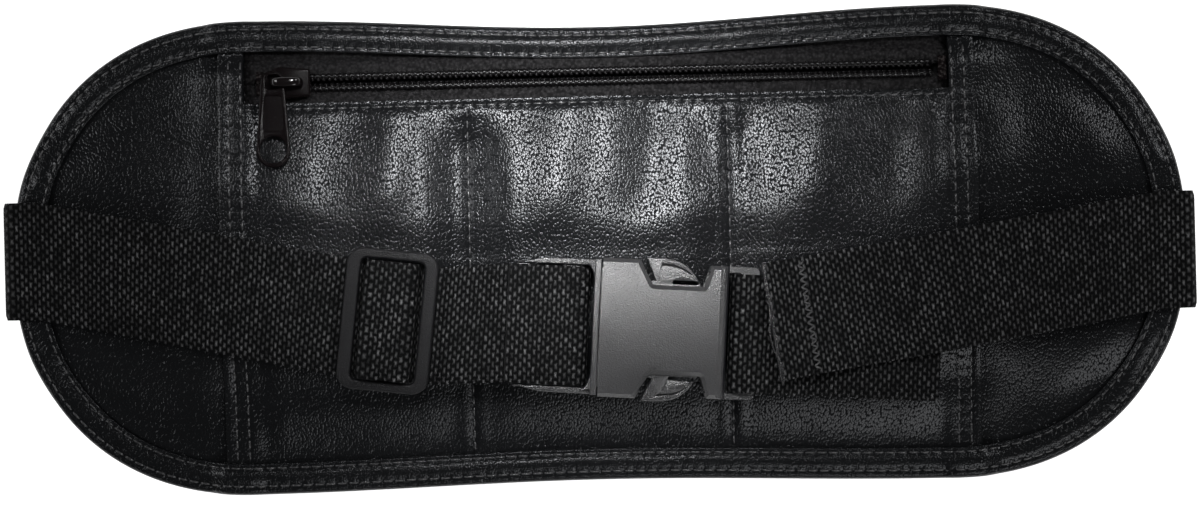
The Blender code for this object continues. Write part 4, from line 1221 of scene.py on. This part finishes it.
def slider_bridge():
    """Glossy arch along the slider, crowned and thicker over its middle."""
    half = BRIDGE_LENGTH / 2
    foot = SLIDER_TOP - 0.0001
    top = SLIDER_TOP + CLEAR + BRIDGE_HEIGHT
    corner = 0.0015
    bar = 0.0010
    path = rounded_path([(-half + bar / 2, foot), (-half + bar / 2, top - bar / 2, corner),
                         (half - bar / 2, top - bar / 2, corner), (half - bar / 2, foot)], 10)
    points = []
    for before, here in zip(path, path[1:]):
        points += [mix(Vector(before), Vector(here), k / 4) for k in range(4)]
    points.append(Vector(path[-1]))
    for point in points:
        point.y -= point.x ** 2 / 0.030 * (point.y - foot) / (top - foot)
    shape = bmesh.new()
    loops = []
    for i, point in enumerate(points):
        ahead = (points[min(i + 1, len(points) - 1)] - points[max(i - 1, 0)]).normalized()
        normal = Vector((-ahead.y, ahead.x))
        wide = 0.0009 + 0.00012 * smooth(1 - abs(point.x) / half)
        loop = []
        for k in range(14):
            angle = 2 * math.pi * k / 14
            flat = signed_power(math.cos(angle), 0.7) * wide
            rise = signed_power(math.sin(angle), 0.7) * bar / 2
            spot = point + normal * rise
            loop.append(shape.verts.new((SLIDER_X + spot.x, ZIP_Y + flat, spot.y)))
        loops.append(loop)
    tube(shape, loops)
    obj = as_object("bridge_enamel", [outward(shape)], BRIDGE_LOOK, angle=60)
    rides(obj, "slider", "zip_metal", "slider_bridge")


def pull_tab():
    """Pull with a bare recessed face, an eye for the bridge and a round hole in its end."""
    end_radius = TAB_END / 2
    neck = TAB_NECK / 2
    end_centre = (0.0, end_radius - TAB_LENGTH)
    loop = arc((0, 0), neck, 0, 180, 24) + arc(end_centre, end_radius, 180, 360, 40)
    hole_centre = (0.0, end_centre[1] + (end_radius - TAB_HOLE / 2) / 4)
    hole = arc(hole_centre, TAB_HOLE / 2, 360, 9, 39)
    eye = rounded_box((-0.0015, -0.0015), (0.0015, 0.0015), 0.00075)
    obj = as_object("pull_enamel", [plate([loop, eye, hole], TAB_THICK / 2, 0.00028, 4)], METAL_LOOK)
    low = hole_centre[1] + TAB_HOLE / 2 + 0.0008
    face = [(-0.0019, -0.0030), (-0.0022, low + 0.0004), (0.0022, low + 0.0004), (0.0019, -0.0030)]
    combine(obj, plate([rounded_outline(face, 0.0006, (0, 1, 2, 3))], 0.0003,
                       matrix=Matrix.Translation((0, 0, TAB_THICK / 2))), "DIFFERENCE")
    eye_x = SLIDER_X - BRIDGE_LENGTH / 2 + 0.00045
    level = Matrix.Translation((0, 0, TAB_THICK / 2 + CLEAR))
    tilt = Matrix.Rotation(-TAB_SLOPE, 4, "X")
    obj.data.transform(Matrix.Translation((eye_x, ZIP_Y, SLIDER_TOP + CLEAR)) @ tilt @ level)
    soften(obj, 0.0001, 2, 40)
    rides(obj, "pull", "zip_metal", "pull_tab")


# Webbing


def local_stations(path, place, turn):
    """(along, height) points of a hardware frame as (x, y, z, turn) stations."""
    stations = []
    for along, height in path:
        x = place[0] + along * math.cos(turn)
        y = place[1] + along * math.sin(turn)
        stations.append((x, y, height, turn))
    return stations


def joined(*runs, longest=0.0020):
    """Runs of stations in one list, with the long spans divided."""
    stations = [station for run in runs for station in run]
    result = [stations[0]]
    for before, here in zip(stations, stations[1:]):
        span = (Vector(here[:3]) - Vector(before[:3])).length
        if span < 1e-7:
            continue
        count = max(1, math.ceil(span / longest))
        for i in range(count):
            result.append(tuple(mix(a, b, (i + 1) / count) for a, b in zip(before, here)))
    return result


def web_section():
    """Webbing's section with soft selvedges, as (across, up) points."""
    half = WEB_WIDTH / 2
    thick = WEB / 2
    top = []
    for i in range(25):
        across = mix(-1, 1, i / 24)
        near_edge = smooth((abs(across) - 0.90) / 0.10)
        top.append((across * half, thick * (1 - 0.45 * near_edge)))
    return top + [(a, -u) for a, u in top[::-1]]


def web(name, stations, before=None):
    """A length of webbing through the stations. Its weave runs on from the piece before."""
    section = web_section()
    count = len(section)
    shape = bmesh.new()
    weave = shape.loops.layers.uv.new("weave")
    points = [Vector(station[:3]) for station in stations]
    loops = []
    lengths = []
    done = before["weave_end"] if before else 0.0
    start = done
    for i, station in enumerate(stations):
        if i:
            done += (points[i] - points[i - 1]).length
        lengths.append(done)
        ahead = points[min(i + 1, len(points) - 1)] - points[max(i - 1, 0)]
        across = Vector((-math.sin(station[3]), math.cos(station[3]), 0.0))
        up = ahead.cross(across).normalized()
        loops.append([shape.verts.new(points[i] + across * a + up * u) for a, u in section])
    for i in range(len(loops) - 1):
        for k in range(count):
            n = (k + 1) % count
            face = shape.faces.new((loops[i][k], loops[i + 1][k], loops[i + 1][n], loops[i][n]))
            spots = ((i, k), (i + 1, k), (i + 1, n), (i, n))
            for corner, (row, point) in zip(face.loops, spots):
                corner[weave].uv = (section[point][0] + (0.05 if k >= count // 2 else 0.0), lengths[row])
    shape.faces.new(loops[0])
    shape.faces.new(loops[-1][::-1])
    obj = as_object(name, [outward(shape)], WEB_LOOK, angle=70)
    obj["web_length"] = done - start
    obj["weave_end"] = done
    return obj


def round_the_end(side, y):
    """Stations from the sewn end behind the pouch, through its fold and round the pouch's end to the face."""
    reach = POUCH_LENGTH / 2 + CLEAR + WEB / 2
    fold = WEB_STEP / 2
    corners = [(SEWN_END_X, HIGH_WEB), (FOLD_X, HIGH_WEB, fold), (FOLD_X, LOW_WEB, fold),
               (reach, LOW_WEB, 0.0020), (reach, END_WEB, 0.0020), (reach - BORDER, END_WEB)]
    return [(side * along, y, height, 0.0) for along, height in rounded_path(corners)]


def left_strap_runs():
    """Stations behind the pouch, up over the adjuster, down from it, round the plug's bar, and back."""
    under_bar = GLIDE_LENGTH / 2 + WEB_BEND
    slot_middle = (GLIDE_LENGTH / 2 - GLIDE_BAR + CENTRE_BAR / 2 + WEB_STEP) / 2
    bar_bottom = GLIDE_Z - GLIDE_THICK / 2
    wrap_low = bar_bottom - CLEAR - WEB / 2
    wrap_high = bar_bottom + CENTRE_BAR_THICK + CLEAR + WEB / 2
    wrap_round = (wrap_high - wrap_low) / 2
    wrap_side = CENTRE_BAR / 2 + 1.5 * CLEAR + WEB / 2
    hump = wrap_high + WEB_STEP
    rising = [(-under_bar, RUNNING_WEB), (-slot_middle, RUNNING_WEB, WEB_BEND),
              (-slot_middle, hump, WEB_BEND), (0.0, hump)]
    falling = [(0.0, hump), (slot_middle, hump, WEB_BEND),
               (slot_middle, RUNNING_WEB, WEB_BEND), (under_bar, RUNNING_WEB)]
    plug_reach = -PLUG_LENGTH - WEB
    turn = PLUG_BAR[1] + WRAP_REACH
    round_plug = [(plug_reach, BUCKLE_Z + BAR_WRAP), (turn, BUCKLE_Z + BAR_WRAP, BAR_WRAP),
                  (turn, BUCKLE_Z - BAR_WRAP, BAR_WRAP), (plug_reach, BUCKLE_Z - BAR_WRAP)]
    back = [(under_bar, RETURN_WEB), (CENTRE_BAR + WEB_BEND / 4, RETURN_WEB, WEB_BEND),
            (CENTRE_BAR / 4, wrap_low, WEB_BEND), (-wrap_side, wrap_low, wrap_round),
            (-wrap_side, wrap_high, wrap_round), (CENTRE_BAR, wrap_high)]
    rise = local_stations(rounded_path(rising), GLIDE_PLACE, GLIDE_TURN)
    fall = local_stations(rounded_path(falling), GLIDE_PLACE, GLIDE_TURN)
    plug = local_stations(rounded_path(round_plug), BUCKLE_PLACE, BUCKLE_TURN)
    home = local_stations(rounded_path(back), GLIDE_PLACE, GLIDE_TURN)
    return round_the_end(-1, LEFT_Y), rise, fall, plug, home


def left_strap():
    """One strap in five pieces: the one behind the pouch and the one round the plug's bar ride on the pouch,
    and the three beside the adjuster are left on no body.
    """
    behind, rise, fall, plug, home = left_strap_runs()
    back_web = web("left_strap_back", joined(behind))
    run_web = web("left_strap_run", joined(behind[-1:], rise), back_web)
    cross_web = web("left_strap_cross", joined(fall, plug[:1]), run_web)
    plug_web = web("left_strap_plug", joined(plug), cross_web)
    home_web = web("left_strap_return", joined(plug[-1:], home), plug_web)
    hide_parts("left_strap")
    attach(back_web, "pouch")
    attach(plug_web, "pouch")
    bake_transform(run_web)
    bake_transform(cross_web)
    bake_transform(home_web)


def right_strap():
    """Behind the pouch, round its end and over the housing's loop to the cut end."""
    behind = round_the_end(1, RIGHT_Y)
    level = RUNNING_WEB + WEB_STEP
    bend = 0.02
    run = [(0.0, CUT_LEVEL), (TACKED, level, bend), (0.0190, RUNNING_WEB, bend), (0.0368, RUNNING_WEB)]
    front = local_stations(rounded_path(run), CUT_END, CUT_TURN)[::-1]
    back_web = web("right_strap_back", joined(behind))
    run_web = web("right_strap_run", joined(behind[-1:], front), back_web)
    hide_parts("right_strap")
    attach(back_web, "pouch")
    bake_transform(run_web)


def on_cut_end(name, shape, material):
    """Sets a detail on the cut end of the right strap."""
    matrix = placed(CUT_END, CUT_LEVEL, CUT_TURN)
    rides(as_object(name, [outward(shape)], material, matrix, 60), "socket", "webbing")


def cut_end():
    """Melted edge of the right strap, lumpy, with a few beads on it."""
    bead = bmesh.new()
    rings = []
    for i in range(53):
        across = mix(-WEB_WIDTH / 2, WEB_WIDTH / 2, i / 52)
        lump = noise.noise(Vector((across * 900, 2.7, 0.0)))
        centre = Vector((0.0001 + 0.00022 * lump, across, 0.0))
        tall = WEB / 2 + 0.00006 + 0.00005 * lump
        rings.append((centre, 0.00062 + 0.00016 * lump, tall, Vector((1, 0, 0))))
    level_tube(bead, rings)
    for across, size in ((0.0081, 0.00036), (0.0070, 0.00042), (0.0056, 0.00046), (0.0043, 0.00038)):
        spot = Matrix.Translation((-0.0003, across, WEB / 2))
        bmesh.ops.create_icosphere(bead, subdivisions=2, radius=size, matrix=spot)
    on_cut_end("right_strap_cut_end", bead, MELTED_LOOK)


def loose_thread():
    """Thread end that hangs free along the cut."""
    thread = bmesh.new()
    rings = []
    for i in range(41):
        share = i / 40
        sway = math.sin(math.pi * share)
        along = -0.0003 - 0.0011 * sway * sway + 0.0006 * share
        spot = Vector((along, mix(0.0030, -0.0108, share), WEB / 2 + 0.0002 + 0.0005 * sway))
        rings.append((spot, LOOSE_THREAD, LOOSE_THREAD, Vector((1, 0, 0))))
    level_tube(thread, rings)
    on_cut_end("right_strap_loose_thread", thread, MELTED_LOOK)


def strap_tack():
    """Zigzag that holds the right strap to the housing's loop."""
    fall = (BUCKLE_Z + BAR_WRAP - RUNNING_WEB) / TACKED
    up = Vector((fall, 0.0, 1.0)).normalized()
    marks = []
    for i in range(31):
        along = 0.78 * TACKED + 0.0007 * (-1) ** i
        marks.append(Vector((along, mix(-0.0116, 0.0116, i / 30), -fall * along)) + up * (WEB / 2))
    tack = bmesh.new()
    for before, here in zip(marks, marks[1:]):
        stitch_mesh(tack, before, here, up, TACK_THREAD)
    on_cut_end("right_strap_tack", tack, THREAD_LOOK)


def housing_loop():
    """Short loop round the housing's bar, with its tail under the right strap."""
    turn = BAR_START - WRAP_REACH
    settle = BAR_END + 0.0090
    ease = 0.0040
    corners = [(BAR_END + 0.0125, RUNNING_WEB), (settle + WEB, RUNNING_WEB, ease),
               (BAR_END, BUCKLE_Z + BAR_WRAP, ease), (turn, BUCKLE_Z + BAR_WRAP, BAR_WRAP),
               (turn, BUCKLE_Z - BAR_WRAP, BAR_WRAP), (BAR_END, BUCKLE_Z - BAR_WRAP, ease),
               (settle, RETURN_WEB, ease), (BAR_END + 0.0400, RETURN_WEB)]
    obj = web("housing_loop_web", joined(local_stations(rounded_path(corners), BUCKLE_PLACE, BUCKLE_TURN)))
    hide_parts("housing_loop")
    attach(obj, "socket")


# Adjuster and buckle


def triglide():
    """Rounded frame with a centre bar along its underside."""
    half = (GLIDE_LENGTH / 2, GUIDE_HALF + GLIDE_RAIL)
    inner = (half[0] - GLIDE_BAR, GUIDE_HALF)
    outer_loop = rounded_box((-half[0], -half[1]), half, 0.0035, 12)
    inner_loop = rounded_box((-inner[0], -inner[1]), inner, 0.0012, 8)
    rim = plate([outer_loop, inner_loop], GLIDE_THICK / 2, 0.0006, 4)
    bottom = -GLIDE_THICK / 2
    side = CENTRE_BAR / 2
    reach = GUIDE_HALF + GLIDE_RAIL / 2
    bar = block((-side, -reach, bottom + 0.00005), (side, reach, bottom + CENTRE_BAR_THICK))
    obj = as_object("adjuster_plastic", [rim, bar], GLIDE_LOOK, placed(GLIDE_PLACE, GLIDE_Z, GLIDE_TURN))
    rides(obj, "adjuster", "adjuster", "triglide")


BUCKLE_MATRIX = placed(BUCKLE_PLACE, BUCKLE_Z, BUCKLE_TURN)


def plug_wedge():
    """Corner that fills the plug's front slot beside its lip."""
    corner = 0.0042
    loop = [(-PLUG_BASE, GUIDE_HALF - corner - 0.001)]
    for k in range(11):
        angle = math.radians(9 * k)
        u = -PLUG_BASE - 0.0002 - 0.0022 * (1 - math.cos(angle))
        loop.append((u, GUIDE_HALF - corner + (corner + 0.0004) * math.sin(angle)))
    loop.append((-PLUG_BASE, GUIDE_HALF + 0.0004))
    return loop[::-1]


def buckle_plug():
    """Web frame with its bar, side rails, lip, spigot and guide tongue."""
    side = BUCKLE_HALF - CLEAR
    tip = side - 0.0011
    front = -PLUG_BASE / 2
    frame_loop = [(-PLUG_LENGTH, -tip), (front, -side + CLEAR), (front, side - CLEAR), (-PLUG_LENGTH, tip)]
    rear_slot = rounded_box((-PLUG_LENGTH + 0.0028, -GUIDE_HALF), (PLUG_BAR[0], GUIDE_HALF), 0.0008)
    front_slot = rounded_box((PLUG_BAR[1], -GUIDE_HALF - 0.0001), (-PLUG_BASE, GUIDE_HALF + 0.0001), 0.0016)
    shapes = [plate([frame_loop, rear_slot, front_slot], BAR_THICK / 2, 0.0003, 2)]
    rail = [(-PLUG_LENGTH - 0.0004, tip - 0.0004), (front, GUIDE_HALF + 0.0001),
            (front, side - 0.0001), (-PLUG_LENGTH + 0.006, side - 0.0002)]
    for loop, half, edge, segments in ((rail, 0.0019, 0.0003, 3), (plug_wedge(), 0.0028, 0.0002, 2)):
        for sign in (1, -1):
            shapes.append(plate([mirrored(loop, sign)], half, edge, segments))
    lip = [(-PLUG_BASE - CLEAR, -side), (-CLEAR, -side), (-CLEAR, side), (-PLUG_BASE - CLEAR, side)]
    shapes.append(plate([lip], 0.0032, 0.0003, 3))
    spigot = rounded_box((front, -0.0127), (0.0006, 0.0127), 0.0003, 3)
    shapes.append(plate([spigot], 0.0023, 0.0001, 1))
    tongue = rounded_box((front, -0.0022), (0.0220, 0.0022), 0.0011)
    shapes.append(plate([tongue], 0.0016, 0.0004, 3))
    obj = as_object("plug_plastic", shapes, BUCKLE_LOOK, BUCKLE_MATRIX)
    rides(obj, "pouch", "buckle", "buckle_plug")


def head_curve(width):
    """Outer side of a latch head, from its shoulder to its tip, moved in by width."""
    side = BUCKLE_HALF + 0.0005 - width
    shoulder = WINDOW_OUTER[0] + 4 * CLEAR + width
    tip = WINDOW_INNER[1] - 2 * CLEAR - width
    depth = 0.0058 - 2 * width
    return [(mix(shoulder, tip, t ** 0.75), side - depth * t ** 3) for t in (i / 24 for i in range(25))]


def latch_arm(name, sign, body):
    """Spring arm with a sloped head, its top cut down behind a hooked rim."""
    neck = WINDOW_INNER[0] + 2 * CLEAR
    under = WINDOW_FLOOR - CLEAR - 0.0005
    root = arc(ARM_PIVOT, 0.0010, 90, 270, 12)
    head = head_curve(0.0)
    loop = root + [(neck, under - 0.0010), (head[-1][0] - 0.0010, under - 0.0005)] + head[::-1]
    loop.append((neck, WINDOW_FLOOR + 0.0010))
    arm = plate([mirrored(loop, sign)], ARM_THICK / 2, 0.00022, 2)
    obj = as_object(name + "_plastic", [arm], BUCKLE_LOOK)
    top = Matrix.Translation((0, 0, ARM_THICK / 2))
    wall = head_curve(0.00145)[4:-4]
    low = WINDOW_FLOOR + 0.0005
    leaf = [(neck + 0.0003, low), (wall[-1][0], low)] + wall[::-1]
    groove = head_curve(0.0012)[3:-3] + head_curve(0.0017)[3:-3][::-1]
    for loop, depth in ((leaf, 0.0003), (groove[::-1], 0.0012)):
        combine(obj, plate([mirrored(loop, sign)], depth, matrix=top), "DIFFERENCE")
    slot_low = (neck + 0.0035, WINDOW_FLOOR + 0.0003)
    slot_high = (head[-1][0] - 0.0006, WINDOW_FLOOR + 0.0012)
    slot = rounded_box(slot_low, slot_high, 0.0004)
    combine(obj, plate([mirrored(slot, sign)], ARM_THICK), "DIFFERENCE")
    obj.data.transform(BUCKLE_MATRIX)
    soften(obj, 0.00012, 2, 40)
    rides(obj, body, "buckle", name)


def crown_half(v):
    """Half the housing's thickness at a distance from its axis."""
    return mix(HOUSING_THICK, HOUSING_EDGE, (v / BUCKLE_HALF) ** 2) / 2


def cut_rim(obj, path, closing, width, drop):
    """Cuts a chamfer along a path on the crown: width into the face, drop down at the edge."""
    inner = []
    outer = []
    for i, here in enumerate(path):
        ahead = Vector(path[min(i + 1, len(path) - 1)]) - Vector(path[max(i - 1, 0)])
        aside = Vector((ahead.y, -ahead.x)).normalized() * width
        inner.append(Vector(here))
        outer.append(Vector(here) + aside)
    inner += [Vector(point) for point in closing]
    outer += [Vector(point) for point in closing]
    shape = bmesh.new()
    low = [shape.verts.new((u, v, crown_half(v) - drop)) for u, v in inner]
    face = []
    for i, (u, v) in enumerate(outer):
        lift = 0.00001 if i >= len(path) else 0.0
        face.append(shape.verts.new((u, v, crown_half(v) + lift)))
    high = [shape.verts.new((u, v, HOUSING_THICK)) for u, v in outer]
    tube(shape, [low, face, high])
    bmesh.ops.triangulate(shape, faces=shape.faces)
    combine(obj, outward(shape), "DIFFERENCE")


def housing_rims(obj):
    """Chamfers round the windows and along the sides, and the rolled rear edge."""
    reach = BUCKLE_HALF + 0.0020
    lean = (WINDOW_INNER[0] - WINDOW_OUTER[0]) / (BUCKLE_HALF - WINDOW_FLOOR)
    back_lean = (WINDOW_OUTER[1] - WINDOW_INNER[1]) / (HOUSING_REAR - WINDOW_FLOOR)
    past = reach - WINDOW_FLOOR
    corners = [(WINDOW_INNER[0] - lean * past, reach), (WINDOW_INNER[0], WINDOW_FLOOR, 0.0006),
               (WINDOW_INNER[1], WINDOW_FLOOR, 0.0006), (WINDOW_INNER[1] + back_lean * past, reach)]
    window = rounded_path(corners, 5)
    for sign in (1, -1):
        cut_rim(obj, mirrored(window, sign), [], *WINDOW_CHAMFER)
    ends = (-0.0010, HOUSING_LENGTH + 0.0010)
    front_side = (ends[0], WINDOW_INNER[0], BUCKLE_HALF)
    rear_side = (WINDOW_INNER[1], ends[1], HOUSING_REAR)
    for low, high, side in (front_side, rear_side):
        edge = [(low, side), (high, side)]
        closing = [(high, reach), (low, reach)]
        for sign in (1, -1):
            cut_rim(obj, mirrored(edge, sign), mirrored(closing, sign), *SIDE_CHAMFER)
    edge = [(HOUSING_LENGTH, reach), (HOUSING_LENGTH, -reach)]
    closing = [(ends[1], -reach), (ends[1], reach)]
    for width, drop in REAR_ROLL:
        cut_rim(obj, edge, closing, width, drop)


def buckle_housing():
    """Hollow crowned housing with sloped window edges and the web frame behind it."""
    half = BUCKLE_HALF
    rear = HOUSING_REAR
    side = [(0.0, half), (WINDOW_OUTER[0], half), (WINDOW_INNER[0], WINDOW_FLOOR),
            (WINDOW_INNER[1], WINDOW_FLOOR), (WINDOW_OUTER[1], rear), (HOUSING_LENGTH, rear)]
    side = rounded_outline(side, 0.0006, (1, 2, 3, 4), 4)
    loop = [(u, -v) for u, v in side] + side[::-1]
    obj = as_object("housing_plastic", [plate([loop], HOUSING_THICK)], BUCKLE_LOOK)
    crown = [(v, crown_half(v)) for v in (mix(-half - CLEAR, half + CLEAR, i / 40) for i in range(41))]
    section = crown[::-1] + [(v, -w) for v, w in crown]
    along = Matrix(((0, 0, 1, 0), (1, 0, 0, 0), (0, 1, 0, 0), (0, 0, 0, 1)))
    combine(obj, plate([section], 2 * HOUSING_LENGTH, matrix=along), "INTERSECT")
    combine(obj, block((-HOUSING_LENGTH, -0.0130, -0.0026), (0.0246, 0.0130, 0.0026)), "DIFFERENCE")
    housing_rims(obj)
    frame_loop = rounded_box((HOUSING_LENGTH - 0.0012, -rear), (BAR_END, rear), 0.0011, 5)
    slot = rounded_box((HOUSING_LENGTH, -GUIDE_HALF), (BAR_START, GUIDE_HALF), 0.0005, 4)
    combine(obj, plate([frame_loop, slot], BAR_THICK / 2), "UNION")
    obj.data.transform(BUCKLE_MATRIX)
    obj.data.shade_smooth()
    obj.data.set_sharp_from_angle(angle=math.radians(18))
    rides(obj, "socket", "buckle", "buckle_housing")


# Stage


def stage():
    """White floor that keeps the shadow."""
    half = FLOOR_HALF
    mesh = bpy.data.meshes.new("floor")
    corners = [(-half, -half, 0), (half, -half, 0), (half, half, 0), (-half, half, 0)]
    mesh.from_pydata(corners, [], [(0, 1, 2, 3)])
    shader = Shader("floor_white", (0.92, 0.92, 0.92), 0.9, specular=0.0)
    shader.set("Emission Color", (1.0, 1.0, 1.0, 1.0))
    path = shader.node("LightPath").outputs
    seen = shader.math("MAXIMUM", path["Is Camera Ray"], path["Is Glossy Ray"])
    seen = shader.math("MAXIMUM", seen, path["Is Transmission Ray"])
    shader.feed("Emission Strength", shader.math("MULTIPLY", seen, FLOOR_GLOW))
    floor = new_object("floor", mesh, shader.material)
    floor.location.z = -0.00002


def studio():
    """Surroundings that are white round the sides and dark above."""
    world = bpy.data.worlds.new("studio")
    world.use_nodes = True
    bpy.context.scene.world = world
    tree = world.node_tree
    background = tree.nodes["Background"]
    background.inputs["Color"].default_value = (1.0, 1.0, 1.0, 1.0)
    place = tree.nodes.new("ShaderNodeTexCoord")
    split = tree.nodes.new("ShaderNodeSeparateXYZ")
    fade = tree.nodes.new("ShaderNodeMapRange")
    strength = map_range(fade, 0.05, 0.16, 1.0, 0.06)
    tree.links.new(place.outputs["Generated"], split.inputs["Vector"])
    tree.links.new(split.outputs["Z"], fade.inputs["Value"])
    tree.links.new(strength, background.inputs["Strength"])


def area_light(name, place, target, size, power, cone):
    """A lamp that lights the scene and isn't seen itself."""
    data = bpy.data.lights.new(name, "AREA")
    data.shape = "RECTANGLE"
    data.size = size[0]
    data.size_y = size[1]
    data.energy = power
    data.spread = math.radians(cone)
    obj = bpy.data.objects.new(name, data)
    bpy.context.scene.collection.objects.link(obj)
    obj.visible_camera = False
    obj.location = place
    obj.rotation_euler = (Vector(target) - Vector(place)).to_track_quat("-Z", "Y").to_euler()


def camera():
    """Straight above, turned a little."""
    data = bpy.data.cameras.new("camera")
    data.sensor_width = 36.0
    data.lens = 85.0
    data.clip_start = 0.01
    obj = bpy.data.objects.new("camera", data)
    bpy.context.scene.collection.objects.link(obj)
    up = Vector((math.sin(FRAME_TURN), math.cos(FRAME_TURN), 0.0))
    centre = up * FRAME_SHIFT
    obj.location = (centre.x, centre.y, FRAME_LEVEL + FRAME_WIDTH * data.lens / data.sensor_width)
    obj.rotation_euler = (0.0, 0.0, -FRAME_TURN)
    bpy.context.scene.camera = obj


def main():
    bpy.context.scene.view_settings.view_transform = "Standard"
    back_panel()
    pocket_lining()
    wing("left_wing", -1)
    wing("right_wing", 1)
    pocket_front()
    edge_binding()
    pouch_sewing()
    zip_tape("zip_tape_upper", 1)
    zip_tape("zip_tape_lower", -1)
    zip_teeth("zip_teeth_upper", 1)
    zip_teeth("zip_teeth_lower", -1)
    zip_stops()
    slider_body()
    slider_bridge()
    pull_tab()
    left_strap()
    right_strap()
    cut_end()
    loose_thread()
    strap_tack()
    housing_loop()
    triglide()
    buckle_plug()
    latch_arm("upper_latch_arm", 1, "upper_latch")
    latch_arm("lower_latch_arm", -1, "lower_latch")
    buckle_housing()
    stage()
    studio()
    for name, settings in LAMPS.items():
        area_light(name, *settings)
    camera()


main()
